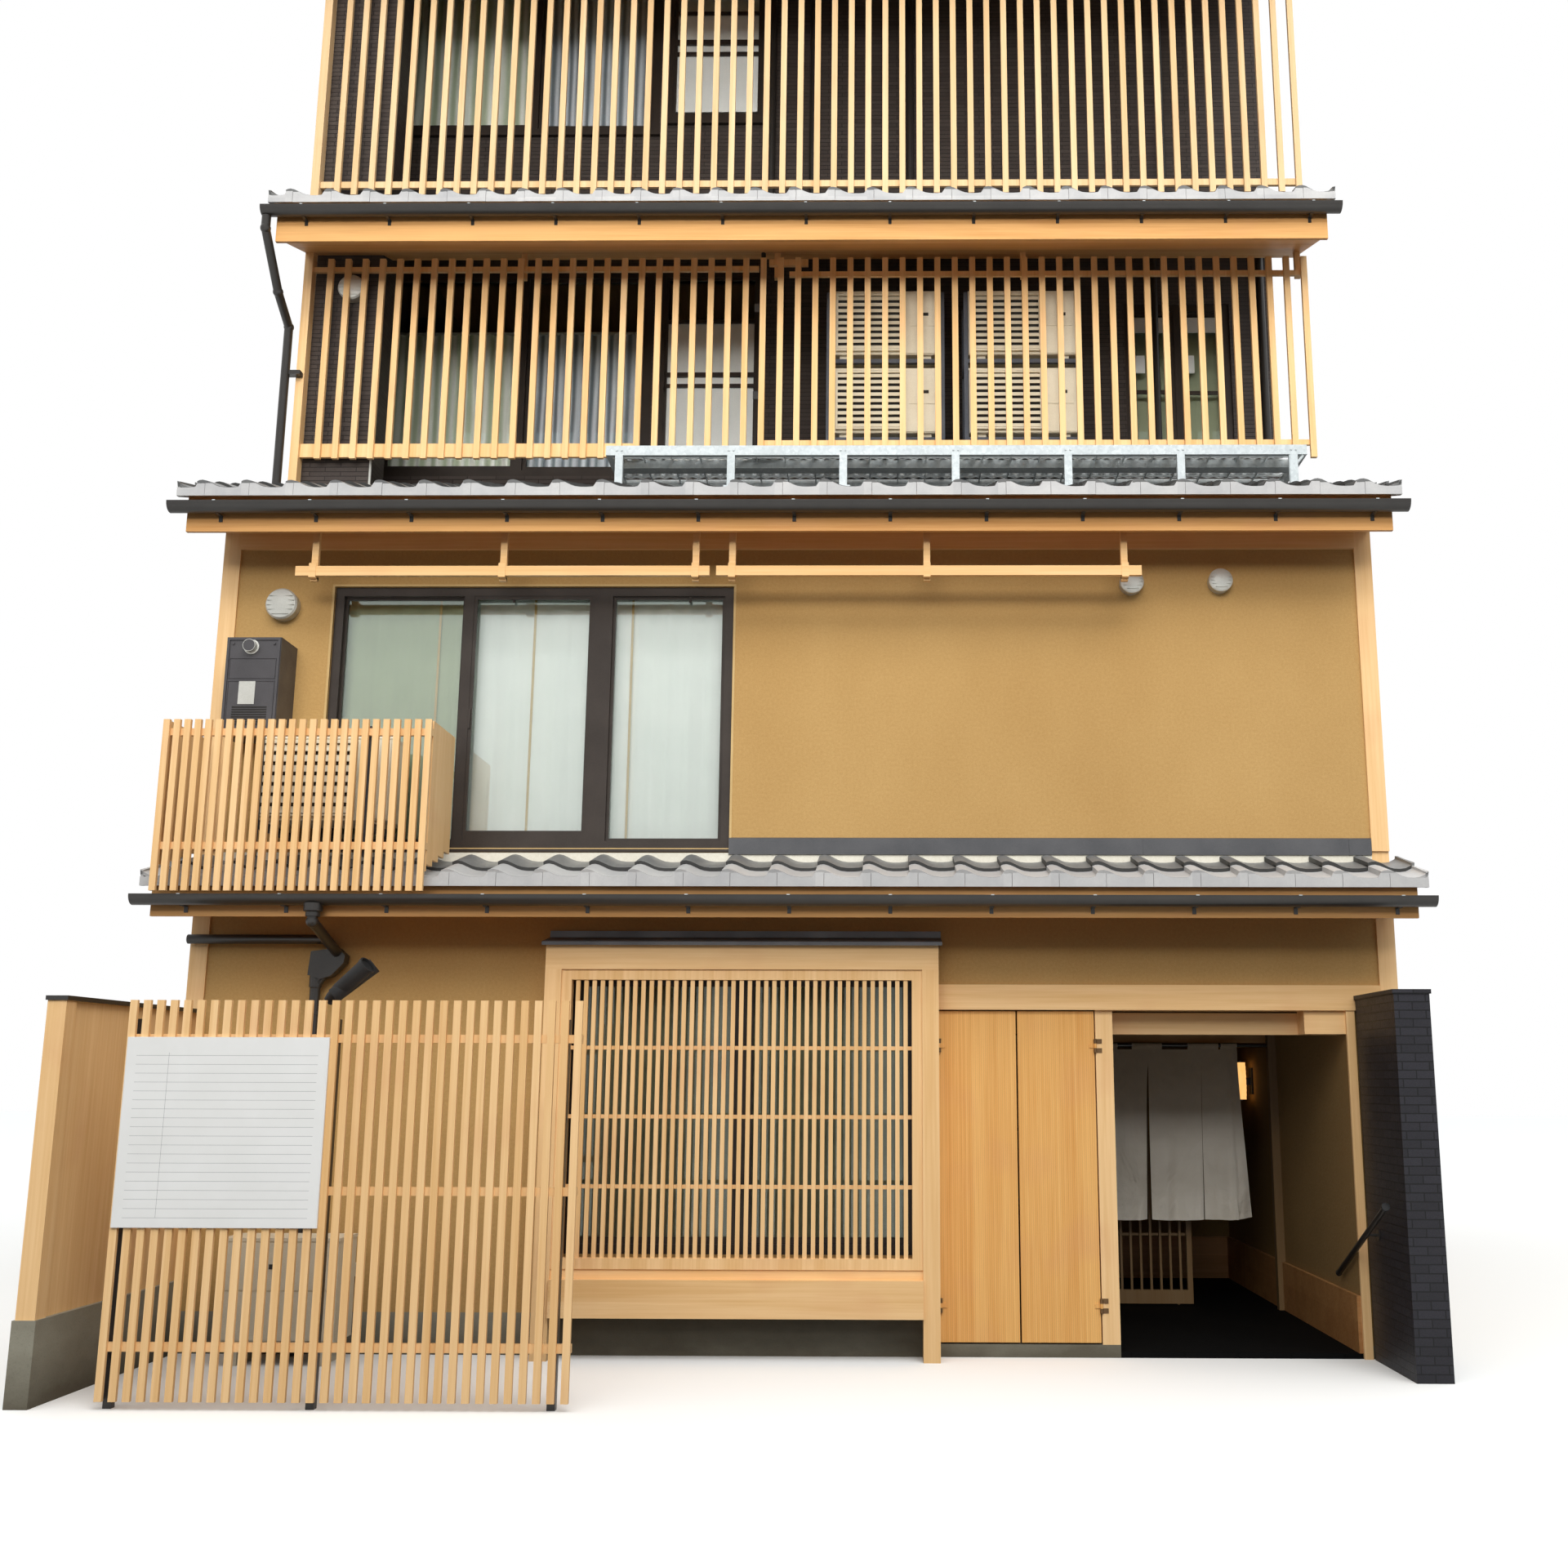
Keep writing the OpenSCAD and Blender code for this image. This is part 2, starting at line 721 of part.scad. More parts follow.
module bay_posts() {
    color(pale_cypress) street() for (x = [bay_x, bay_right - bay_post_w])
        block([x, -bay_out, 0], [x + bay_post_w, 0, bay_top_z - bay_head_h]);
}

// Head beam and foot beam of the bay, with the boards that close it to the wall
module bay_beams() {
    inner_x = bay_x + bay_post_w;
    inner_right = bay_right - bay_post_w;
    color(pale_cypress) street() {
        block([bay_x, -bay_out, bay_top_z - bay_head_h], [bay_right, 0, bay_top_z]);
        block([inner_x, -bay_out - 25, bay_base_top_z - bay_base_h],
            [inner_right, -bay_out + 60, bay_base_top_z]);
        block([inner_x, -bay_out + 20, bay_base_top_z - 1],
            [inner_right, 0, bay_lattice_z - bay_frame_w]);
    }
}

// Frame, rails and upright slats of the bay's lattice
module bay_lattice() {
    low = bay_lattice_z - bay_frame_w;
    high = bay_top_z - bay_head_h;
    x0 = bay_x + bay_post_w;
    x1 = bay_right - bay_post_w;
    y = -bay_out + 12;
    color(pale_cypress) street() {
        along_y(y, bay_frame_d) difference() {
            rectangle([x0, low], [x1, high]);
            rectangle([x0 + bay_frame_w, bay_lattice_z], [x1 - bay_frame_w, high - bay_frame_w]);
        }
        slats(x0 + bay_frame_w + bay_slat_w, x1 - bay_frame_w - bay_slat_w, bay_slat_pitch,
            bay_slat_w, bay_lattice_z - 1, high - bay_frame_w + 1, y + 8, 20);
        for (i = [1 : 3])
            rail(x0 + bay_frame_w - 1, x1 - bay_frame_w + 1,
                bay_lattice_z + i * (high - bay_frame_w - bay_lattice_z) / 4, 22, y + 28, 14);
    }
}

// Sheet-metal caps of the bay and the wing wall, and the flashing at the foot
// of the second storey's plaster
module metal_caps() {
    color(steel_dark) street() {
        block([bay_x - 12, -bay_out - 15, bay_top_z], [bay_right + 12, 0, bay_top_z + 22]);
        block([left_x - 8, -fence_out - 8, fence_top_z], [left_x + wing_t + 8, -post_proud,
            fence_top_z + 22]);
        block([second_window[0] + second_window[2], -12, crest(pent_eave, 0)],
            [right_x - post_w, 0, crest(pent_eave, 0) + 75]);
    }
}

// Static or moving half of a barrel hinge about the Z axis at z; the plate
// lies on the face behind the barrel, or on the side of a post
module hinge_eye(z) {
    difference() {
        translate([0, 0, z - knuckle_h / 2]) cylinder(d = hinge_d, h = knuckle_h, $fn = 24);
        translate([0, 0, z - knuckle_h]) cylinder(d = hinge_pin_d + 0.8, h = 2 * knuckle_h, $fn = 24);
    }
}

module hinge_pin(z) {
    total = 3 * knuckle_h;
    translate([0, 0, z - total / 2]) cylinder(d = hinge_pin_d, h = total, $fn = 24);
    for (side = [-1, 1])
        translate([0, 0, z + side * (knuckle_h + seat) - knuckle_h / 2])
            cylinder(d = hinge_d, h = knuckle_h, $fn = 24);
}

// Boarded leaf with its two hinge eyes; x is its left edge
module door_leaf(x, hinge_x, plate_to) {
    color(cypress) street() {
        block([x, 0, leaf_z], [x + leaf_w, leaf_t, leaf_z + leaf_h]);
        translate([hinge_x, -hinge_out, 0]) for (z = hinge_zs) {
            hinge_eye(z);
            difference() {
                block([min(0, plate_to), hinge_out - 5, z - knuckle_h / 2],
                    [max(0, plate_to), hinge_out + 1, z + knuckle_h / 2]);
                translate([0, 0, z - knuckle_h])
                    cylinder(d = hinge_pin_d + 0.8, h = 2 * knuckle_h, $fn = 24);
            }
        }
    }
}

module left_door_leaf() {
    door_leaf(leaf_left_x, hinge_left_x, 34);
}

module right_door_leaf() {
    door_leaf(leaf_left_x + leaf_w + meeting_gap, hinge_right_x, -34);
}

// Pins and plates of the hinges, on the bay's post and on the jamb post
module door_hinges() {
    color(steel_dark) street() for (z = hinge_zs) {
        translate([hinge_left_x, -hinge_out, 0]) {
            hinge_pin(z);
            for (side = [-1, 1])
                block([bay_right - hinge_left_x, -30, z + side * (knuckle_h + seat) - knuckle_h / 2],
                    [-hinge_d / 2 + 3, 0, z + side * (knuckle_h + seat) + knuckle_h / 2]);
        }
        translate([hinge_right_x, -hinge_out, 0]) {
            hinge_pin(z);
            for (side = [-1, 1])
                block([0, hinge_out - 4, z + side * (knuckle_h + seat) - knuckle_h / 2],
                    [40, hinge_out, z + side * (knuckle_h + seat) + knuckle_h / 2]);
        }
    }
}

// Plastered lining of the porch: two sides, the end and the ceiling
module porch_walls() {
    back = porch_d + porch_wall_t;
    inner_right = right_x - wall_t;
    color(ochre) street() {
        block([jamb_x, wall_t, ground_floor_z], [porch_x, back, lintel_z]);
        block([porch_right, wall_t, ground_floor_z], [inner_right, back, lintel_z]);
        block([porch_right, 0, ground_floor_z], [right_x - post_w, wall_t, lintel_z]);
        block([jamb_x, porch_d, ground_floor_z], [inner_right, back, lintel_z]);
        block([jamb_x, wall_t, lintel_z], [inner_right, back, lintel_z + 60]);
    }
}

// Boarded wainscot with its cap, along the right side and the end
module porch_wainscot() {
    low = porch_floor_t;
    post_back = porch_post_y + 60;
    color([0.62, 0.43, 0.25]) street() {
        block([porch_right - wainscot_t, 0, low], [porch_right, porch_post_y, low + wainscot_h]);
        block([porch_right - wainscot_t, post_back, low], [porch_right, porch_d, low + wainscot_h]);
        block([porch_x, porch_d - wainscot_t, low], [porch_right, porch_d, low + wainscot_h]);
    }
}

// Edge strip at the mouth of the porch and the post in its right wall
module porch_posts() {
    color(cypress) street() {
        block([porch_right, -20, 0], [porch_right + 50, 0, lintel_z]);
        block([porch_right - porch_post_proud, porch_post_y, porch_floor_t],
            [porch_right, porch_post_y + 60, lintel_z]);
    }
}

// Sliding lattice door: stiles, rails, a foot panel, upright bars and rollers
module lattice_door() {
    x1 = lattice_door_x + lattice_door_w;
    stile = 36;
    foot = 90;
    y = lattice_door_y;
    color(cypress) street() {
        along_y(y, lattice_door_t) difference() {
            rectangle([lattice_door_x, lattice_door_z], [x1, lattice_door_top]);
            rectangle([lattice_door_x + stile, lattice_door_z + foot],
                [x1 - stile, lattice_door_top - stile]);
        }
        slats(lattice_door_x + stile + 36, x1 - stile - 36, 62, 16,
            lattice_door_z + foot - 1, lattice_door_top - stile + 1, y + 6, 18);
        for (z = [0.26, 0.52, 0.78])
            rail(lattice_door_x + stile - 1, x1 - stile + 1,
                lattice_door_z + z * (lattice_door_top - lattice_door_z), 18, y + 24, 8);
        for (x = [lattice_door_x + 100, x1 - 100])
            translate([x, y + lattice_door_t / 2 - 6, lattice_door_z + 2])
                rotate([-90, 0, 0])
                cylinder(r = lattice_door_z + 2 - porch_floor_t - seat, h = 12, $fn = 24);
    }
}

// Door curtain as a flat solid below its rod
module noren() {
    top = rod_z - rod_d / 2 - seat;
    color([0.72, 0.70, 0.66]) street()
        block([noren_right - noren_w, rod_y - noren_t / 2, top - noren_h],
            [noren_right, rod_y + noren_t / 2, top]);
}

module noren_rod() {
    color(steel_dark) street() translate([porch_x, rod_y, rod_z])
        rotate([0, 90, 0])
        cylinder(d = rod_d, h = porch_right - porch_post_proud - porch_x, $fn = 24);
}

module wall_lamp() {
    lamp_x = porch_right - 82;
    lamp_y = porch_post_y + 745;
    color([1.0, 0.80, 0.45]) street() {
        translate([lamp_x, lamp_y, 1396]) cylinder(d = 90, h = 280, $fn = 32);
        block([lamp_x, lamp_y - 20, 1500], [porch_right, lamp_y + 20, 1570]);
    }
}

module entrance_pillar() {
    front = pillar_back_y - pillar_d;
    color([0.13, 0.13, 0.14]) street() {
        block([pillar_x, front, 0], [pillar_x + pillar_w, pillar_back_y, pillar_h]);
        block([pillar_x - 8, front - 8, pillar_h], [pillar_x + pillar_w + 8, pillar_back_y,
            pillar_h + 24]);
    }
}

// Sloping handrail beside the porch, on one bracket from the pillar
module handrail() {
    rail_x = porch_right - 30;
    high = [rail_x, -640, 875];
    low = [rail_x, 300, 430];
    reach = low - high;
    color(steel_dark) street() {
        translate(high) rotate([-90 + atan2(reach[2], reach[1]), 0, 0])
            cylinder(d = 32, h = norm(reach), $fn = 24);
        translate([rail_x, -220, 693]) rotate([0, 90, 0])
            cylinder(d = 16, h = pillar_x - rail_x, $fn = 24);
        translate([pillar_x - 6, -220, 693]) rotate([0, 90, 0])
            cylinder(d = 60, h = 6, $fn = 24);
    }
}

// Boarded wing wall with its front post
module wing_wall() {
    color(cypress) street() {
        block([left_x, -fence_out, wing_footing_h], [left_x + wing_t, -fence_out + 95,
            fence_top_z]);
        block([left_x + 15, -fence_out + 90, wing_footing_h], [left_x + wing_t - 15,
            -post_proud, fence_top_z]);
    }
}

module fence_panel() {
    x1 = fence_x + fence_w;
    color(cypress) street() {
        slats(fence_x, x1, fence_slat_pitch, fence_slat_w, 40, fence_top_z,
            fence_slat_y, fence_slat_d);
        for (z = [282, 1000, 1725])
            rail(fence_x, x1, z, 40, -fence_out, fence_rail_d);
    }
}

module fence_posts() {
    y = -fence_out + fence_rail_d;
    color(steel_dark) street()
        for (x = [fence_x + 20, fence_x + fence_w * 0.44, fence_x + fence_w - 110])
            block([x, y, 0], [x + fence_post_w, y + fence_post_w, fence_top_z - 90]);
}

module notice_board() {
    x = fence_x + 15;
    z = 835;
    color([0.93, 0.93, 0.92]) street()
        block([x, fence_slat_y - 12, z], [x + board_w, fence_slat_y, z + board_h]);
}

module pent_roof() {
    roof_at(pent_eave, pent_run);
}

module main_roof() {
    roof_at(main_eave, main_run + setback);
}

module upper_roof() {
    roof_at(upper_eave, upper_run);
}

// Two slopes that meet under a ridge of stacked tiles
module top_roof() {
    run = ridge_y - top_eave[0];
    ridge_z = top_under(ridge_y) + crest_h;
    roof_at(top_eave, run);
    color(tile_grey) street() {
        translate([-roof_shift, 2 * ridge_y - top_eave[0], top_eave[1] + seat]) rotate([0, 0, 180])
            tile_slope(run);
        along_x(-roof_shift - roof_w / 2, roof_w, [
            [ridge_y - 130, ridge_z - 60], [ridge_y + 130, ridge_z - 60],
            [ridge_y + 110, ridge_z + 110], [ridge_y - 110, ridge_z + 110]
        ]);
        translate([-roof_shift - roof_w / 2, ridge_y, ridge_z + 100]) rotate([0, 90, 0])
            cylinder(d = 150, h = roof_w, $fn = 32);
    }
}

// Fascias and soffits of all eaves
module eave_boards() {
    color([0.72, 0.50, 0.29]) street() {
        level_eave(pent_eave, pent_fascia_h, -post_proud);
        level_eave(main_eave, main_fascia_h, -25);
        boxed_eave(upper_eave);
        boxed_eave(top_eave);
        back_eave() level_eave(top_eave, main_fascia_h, top_eave[0] + back_overhang);
    }
}

// Moves a piece of the top roof's front eave to its back eave
module back_eave() {
    translate([-2 * roof_shift, 2 * ridge_y, 0]) rotate([0, 0, 180]) children();
}

module gutters() {
    color(steel_dark) street() {
        for (eave = [pent_eave, main_eave, upper_eave, top_eave]) gutter(eave);
        back_eave() gutter(top_eave);
    }
}

// Downpipes of the lowest and the third-storey gutters, a waste pipe that joins
// the first one, and the pipes on the set-back wall
module downpipes() {
    x = left_x + 905;
    wall_x = left_x + 780;
    low_y = pent_eave[0] + gutter_y;
    low_z = pent_eave[1] + gutter_top - gutter_h - seat;
    up_x = -roof_shift - gutter_w / 2 + pipe_d / 2;
    up_y = upper_eave[0] + gutter_y;
    up_z = upper_eave[1] + gutter_top - gutter_h - seat;
    post_y = screen_y - 50;
    wall_y = setback - pipe_d / 2 - 15;
    color(steel_dark) street() {
        pipe_run([[x, low_y, low_z], [x, low_y, low_z - 90], [x, -60, low_z - 240],
            [wall_x, -60, low_z - 420], [wall_x, -60, 0]], pipe_d);
        pipe_run([[left_x + 5, -60, low_z - 150], [wall_x + 40, -60, low_z - 150],
            [x, -60, low_z - 240]], pipe_d - 4);
        block([wall_x - 20, -60, 1380], [wall_x + 20, 0, 1400]);
        pipe_run([[up_x, up_y, up_z], [up_x, up_y, up_z - 90], [up_x - 6, post_y - 240, up_z - 400],
            [up_x - 12, post_y, up_z - 540], [up_x - 12, post_y, crest(main_eave, post_y + 40)]],
            pipe_d);
        block([up_x - 12, post_y - 10, up_z - 900], [left_x, screen_y, up_z - 870]);
        for (px = [3220, 3552, 4325, 6319])
            wall_pipe(across(px), wall_y, crest(upper_eave, setback) + 20, fourth_floor_z + 1900);
        for (px = [6218, 7050])
            wall_pipe(across(px), wall_y, third_floor_z - 10, under(upper_eave, wall_y) - 60);
    }
}

// Upright pipe on two brackets before the set-back wall
module wall_pipe(x, y, low_z, high_z) {
    translate([x, y, low_z]) cylinder(d = pipe_d, h = high_z - low_z, $fn = 24);
    for (t = [0.2, 0.8])
        block([x - 15, y, low_z + t * (high_z - low_z)],
            [x + 15, setback, low_z + t * (high_z - low_z) + 25]);
}

module blind_rails() {
    y = -320;
    z = main_eave[1] - 428;
    from = left_x + 583;
    middle = from + 2513;
    to = middle + 2567;
    color(cypress) street() {
        for (ends = [[from, middle - 20], [middle + 20, to]])
            block([ends[0], y - 15, z - 30], [ends[1], y + 15, z + 30]);
        for (x = [103, 1245, 2406, 2626, 3797, 4982])
            block([from + x - 20, y + 14, z - 55], [from + x + 20, y + 44, main_soffit_z]);
    }
}

module front_window_frames() {
    color(dark_brown) street() {
        window_frame(bay_window, 0);
        window_frame(second_window, 0);
        for (w = concat(third_windows, fourth_windows)) window_frame(w, setback);
    }
}

module back_window_frames() {
    color(dark_brown) street() translate([0, 2 * house_d - wall_t, 0]) mirror([0, 1, 0])
        for (w = concat(back_windows, upper_back_windows)) window_frame(w, house_d - wall_t);
}

module window_glass() {
    color(glass_colour) street() {
        window_pane(bay_window, 0);
        window_pane(second_window, 0);
        for (w = concat(third_windows, fourth_windows)) window_pane(w, setback);
        translate([0, 2 * house_d - wall_t, 0]) mirror([0, 1, 0])
            for (w = concat(back_windows, upper_back_windows)) window_pane(w, house_d - wall_t);
    }
}

// Third-storey screen: a stout foot rail on the left, a gate of hung slats, and
// thin rails on the right. Over the platform its slats stand on the grating.
module third_screen() {
    rail_y = screen_y + screen_slat_d;
    top = third_screen_top;
    color(cypress) street() {
        difference() {
            union() {
                screen_slats(third_screen_foot, top);
                rail(left_x, gate_x, third_screen_foot + 70, 100, rail_y, screen_rail_d);
            }
            block([deck_left - seat, screen_y - 10, third_screen_foot - 10],
                [deck_right + seat, rail_y + screen_rail_d + 10, deck_z + deck_h + seat]);
        }
        rail(left_x, gate_post_x - 30, top - 68, 38, rail_y, screen_rail_d);
        rail(gate_post_x + 20, right_x, deck_z + deck_h + 97, 38, rail_y, screen_rail_d);
        rail(gate_post_x + 190, right_x, top - 112, 38, rail_y, screen_rail_d);
        rail(gate_post_x + 43, gate_post_x + 324, top - 22, 50, rail_y, screen_rail_d);
        screen_post(main_eave, upper_eave);
        screen_ties(top, upper_eave);
    }
}

// Evenly spaced slats of an upper screen over the whole width of the house
module screen_slats(foot, top) {
    slats(left_x + screen_post_w + 60, right_x, screen_slat_pitch, screen_slat_w, foot, top,
        screen_y, screen_slat_d);
}

// End post of a screen, cut to the slopes of the roof under it and the soffit
// over it
module screen_post(low_eave, high_eave) {
    back = screen_y + screen_post_d;
    along_x(left_x - 50, screen_post_w, [
        [screen_y, crest(low_eave, back) + seat], [back, crest(low_eave, back) + seat],
        [back, box_soffit(high_eave, back) - seat],
        [screen_y, box_soffit(high_eave, screen_y) - seat]
    ]);
}

// Struts that hang a screen's top rail from the soffit
module screen_ties(top, eave) {
    y = screen_y + screen_slat_d + screen_rail_d;
    for (x = [left_x + 1500, left_x + 3330, left_x + 5100, right_x - 70])
        along_x(x, 40, [
            [y - 1, top - 131], [y + 35, top - 131],
            [y + 35, box_soffit(eave, y + 35) - seat], [y - 1, box_soffit(eave, y - 1) - seat]
        ]);
}

// Fourth-storey screen, with an unbroken foot rail
module fourth_screen() {
    rail_y = screen_y + screen_slat_d;
    top = fourth_screen_top;
    color(cypress) street() {
        screen_slats(fourth_screen_foot, top);
        rail(left_x, right_x, fourth_screen_foot + 95, 50, rail_y, screen_rail_d);
        rail(left_x, right_x, top - 112, 38, rail_y, screen_rail_d);
        screen_post(upper_eave, top_eave);
        screen_ties(top, top_eave);
    }
}

// Post of the access gate, with its flat foot on the grating and two brackets
module gate_post() {
    y = screen_y + screen_slat_d + 20;
    foot = deck_z + deck_h - 5;
    top = box_soffit(upper_eave, y - 17) - seat;
    color(steel_dark) street() {
        translate([gate_post_x, y, foot]) cylinder(d = 34, h = top - foot, $fn = 24);
        block([gate_post_x - 110, y - 15, foot], [gate_post_x + 110, y + 15, foot + 8]);
        for (z = [third_floor_z + 270, third_floor_z + 940])
            block([gate_post_x - 60, y + 8, z], [gate_post_x, y + 14, z + 60]);
    }
}

// Steel service platform over the main roof: channels, posts and a grating
module roof_platform() {
    post_count = 7;
    post_x = deck_left + deck_post_in;
    step = (deck_right - deck_left - 2 * deck_post_in - deck_post_w) / (post_count - 1);
    foot = crest(main_eave, deck_front + deck_bar) + seat;
    grid = 190;
    columns = floor((deck_right - deck_left - 2 * deck_bar) / grid);
    rows = 5;
    cell = [(deck_right - deck_left - 2 * deck_bar) / columns,
        (deck_back - deck_front - 2 * deck_bar) / rows];
    color(galvanised) street() {
        translate([0, 0, deck_z]) linear_extrude(deck_h) difference() {
            rectangle([deck_left, deck_front], [deck_right, deck_back]);
            rectangle([deck_left + deck_bar, deck_front + deck_bar],
                [deck_right - deck_bar, deck_back - deck_bar]);
        }
        translate([0, 0, deck_z + deck_h - 30]) linear_extrude(25) difference() {
            rectangle([deck_left + 10, deck_front + 10], [deck_right - 10, deck_back - 10]);
            for (i = [0 : columns - 1], j = [0 : rows - 1])
                rectangle([deck_left + deck_bar + i * cell[0] + 3,
                        deck_front + deck_bar + j * cell[1] + 3],
                    [deck_left + deck_bar + (i + 1) * cell[0] - 3,
                        deck_front + deck_bar + (j + 1) * cell[1] - 3]);
        }
        for (i = [0 : post_count - 1])
            block([post_x + i * step, deck_front, foot],
                [post_x + i * step + deck_post_w, deck_front + deck_bar, deck_z + 1]);
        block([deck_left + deck_bar - 1, deck_front + 230, deck_z],
            [deck_right - deck_bar + 1, deck_front + 330, deck_z + deck_h - 10]);
    }
}

// One outdoor unit: a case on two feet
module outdoor_unit(low, size, foot_h) {
    block(low + [0, 0, foot_h], low + size);
    for (x = [60, size[0] - 120])
        block(low + [x, 20, 0], low + [x + 60, size[1] - 20, foot_h + 1]);
}

unit_size = [780, 290, 520];
unit_xs = [left_x + 3740, left_x + 4730];
unit_low_z = deck_z + deck_h + 200;
unit_high_z = unit_low_z + unit_size[2] + 80;
unit_y = deck_back - 40 - unit_size[1];
box_unit = [left_x + 460, -330, second_floor_z + 230];
ground_unit = [left_x + 490, -400, 0];

// Two-tier stands on the platform and the bracket in the lattice box
module unit_stands() {
    color(galvanised) street() {
        for (x = unit_xs) {
            for (px = [x - 35, x + unit_size[0] + 5], py = [unit_y, unit_y + unit_size[1] - 30])
                block([px, py, deck_z + deck_h], [px + 30, py + 30, unit_high_z + unit_size[2]]);
            for (z = [unit_low_z, unit_high_z], py = [unit_y, unit_y + unit_size[1] - 30])
                block([x - 34, py, z - 30], [x + unit_size[0] + 34, py + 30, z]);
            for (z = [unit_low_z, unit_high_z], px = [x - 35, x + unit_size[0] + 5])
                block([px, unit_y, z - 30], [px + 30, unit_y + unit_size[1], z]);
        }
        for (x = [box_unit[0] + 60, box_unit[0] + unit_size[0] - 100]) {
            block([x, box_y + box_slat_d + box_rail_d + 1, box_unit[2] - 40],
                [x + 40, 0, box_unit[2]]);
            block([x, box_y + box_slat_d + box_rail_d, box_foot_z + 200],
                [x + 40, box_y + box_slat_d + box_rail_d + 30, box_top_z - 30]);
        }
    }
}

module outdoor_units() {
    color([0.86, 0.84, 0.78]) street() {
        for (x = unit_xs, z = [unit_low_z, unit_high_z])
            outdoor_unit([x, unit_y, z], unit_size, 30);
        outdoor_unit(box_unit, unit_size, 30);
        outdoor_unit(ground_unit, [650, 280, 667], 123);
        block(ground_unit + [560, 279, 430], [ground_unit[0] + 630, 0, 500]);
    }
}

// Slatted box over the lower eave, with boarded ends stepped over the tiles
module lattice_box() {
    x1 = left_x + box_w;
    rail_y = box_y + box_slat_d;
    side_y = rail_y + box_rail_d;
    steps = 4;
    side_back = box_y + box_side_d;
    step_d = (side_back - side_y) / steps;
    color(pale_cypress) street() {
        slats(left_x, x1, box_slat_pitch, box_slat_w, box_foot_z, box_top_z, box_y, box_slat_d);
        for (z = [box_foot_z + 258, box_top_z - 70])
            rail(left_x, x1, z, 42, rail_y, box_rail_d);
        for (x = [left_x, x1 - box_side_t])
            along_x(x, box_side_t, concat(
                [[side_y - 1, box_top_z], [side_y - 1, box_foot_z + 116]],
                [for (i = [0 : steps - 1], j = [0, 1]) [side_y + (i + j) * step_d,
                    crest(pent_eave, side_y + (i + 1) * step_d) + seat]],
                [[side_back, box_top_z]]
            ));
    }
}

module water_heater() {
    x = left_x + 172;
    z = second_floor_z + 790;
    color([0.22, 0.23, 0.26]) street() {
        block([x, -250, z], [x + 328, 0, z + 600]);
        translate([x + 150, -250, z + 540]) rotate([90, 0, 0])
            cylinder(d = 70, h = 45, $fn = 32);
    }
}

// Round vent hoods: [distance from the left face, height, diameter, wall]
module wall_vents() {
    color([0.62, 0.62, 0.63]) street()
        for (v = [[403, 4410, 192, 0], [5648, 4550, 142, 0], [6194, 4560, 142, 0],
                [282, third_floor_z + 1130, 185, screen_in + shaft_in]])
            translate([left_x + v[0], v[3], v[1]]) rotate([90, 0, 0])
                cylinder(d = v[2], h = 60, $fn = 32);
}

// Spotlight on a slender pole behind the fence
module spotlight() {
    x = left_x + 1350;
    y = -fence_out + 260;
    color(steel_dark) street() {
        translate([x, y, 0]) cylinder(d = 24, h = 1970, $fn = 24);
        translate([x - 30, y, 1945]) rotate([0, 50, 15]) cylinder(d = 80, h = 250, $fn = 32);
    }
}

foundation();
porch_floor();
upper_floors();
ground_wall_left();
ground_wall_right();
second_front_wall();
upper_front_wall();
balcony_shaft();
party_walls();
upper_side_walls();
lower_back_wall();
upper_back_wall();
front_posts();
timber_beams();
bay_posts();
bay_beams();
bay_lattice();
metal_caps();
left_door_leaf();
right_door_leaf();
door_hinges();
porch_walls();
porch_wainscot();
porch_posts();
lattice_door();
noren();
noren_rod();
wall_lamp();
entrance_pillar();
handrail();
wing_wall();
fence_panel();
fence_posts();
notice_board();
pent_roof();
main_roof();
upper_roof();
top_roof();
eave_boards();
gutters();
downpipes();
blind_rails();
front_window_frames();
back_window_frames();
window_glass();
third_screen();
fourth_screen();
gate_post();
roof_platform();
unit_stands();
outdoor_units();
lattice_box();
water_heater();
wall_vents();
spotlight();
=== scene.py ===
"""Looks of a four-storey townhouse of timber lattices, ochre plaster and tiled
eaves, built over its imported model. Shapes are given in millimetres in the street
frame of the model's source: y = 0 is the plaster face of the street wall, +y runs
into the house, and z = 0 is the ground."""

import math
import random

import bmesh
import bpy
from mathutils import Matrix, Vector


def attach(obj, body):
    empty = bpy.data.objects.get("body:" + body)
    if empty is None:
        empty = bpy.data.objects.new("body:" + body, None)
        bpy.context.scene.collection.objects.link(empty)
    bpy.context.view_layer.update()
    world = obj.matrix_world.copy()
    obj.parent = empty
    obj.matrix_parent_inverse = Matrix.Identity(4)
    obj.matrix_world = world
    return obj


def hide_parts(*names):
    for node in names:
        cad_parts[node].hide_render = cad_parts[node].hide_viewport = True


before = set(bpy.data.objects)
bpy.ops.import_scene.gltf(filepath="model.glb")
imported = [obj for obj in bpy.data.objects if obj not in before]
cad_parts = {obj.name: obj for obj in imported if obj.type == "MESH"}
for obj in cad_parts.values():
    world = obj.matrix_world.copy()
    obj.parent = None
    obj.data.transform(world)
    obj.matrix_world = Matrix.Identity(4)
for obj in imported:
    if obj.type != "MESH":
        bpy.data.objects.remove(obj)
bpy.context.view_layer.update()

STREET_Y = -4500
SETBACK = 1980
BACK_Y = 9000
SLOPE = math.radians(20)
RISE = math.tan(SLOPE)

ROOF_LEFT = -3670
ROOF_RIGHT = 3620
TILE_COUNT = 27
TILE_PITCH = 265.6
TILE_SHOWN = 235
FIRST_TILE_X = ROOF_RIGHT - TILE_COUNT * TILE_PITCH


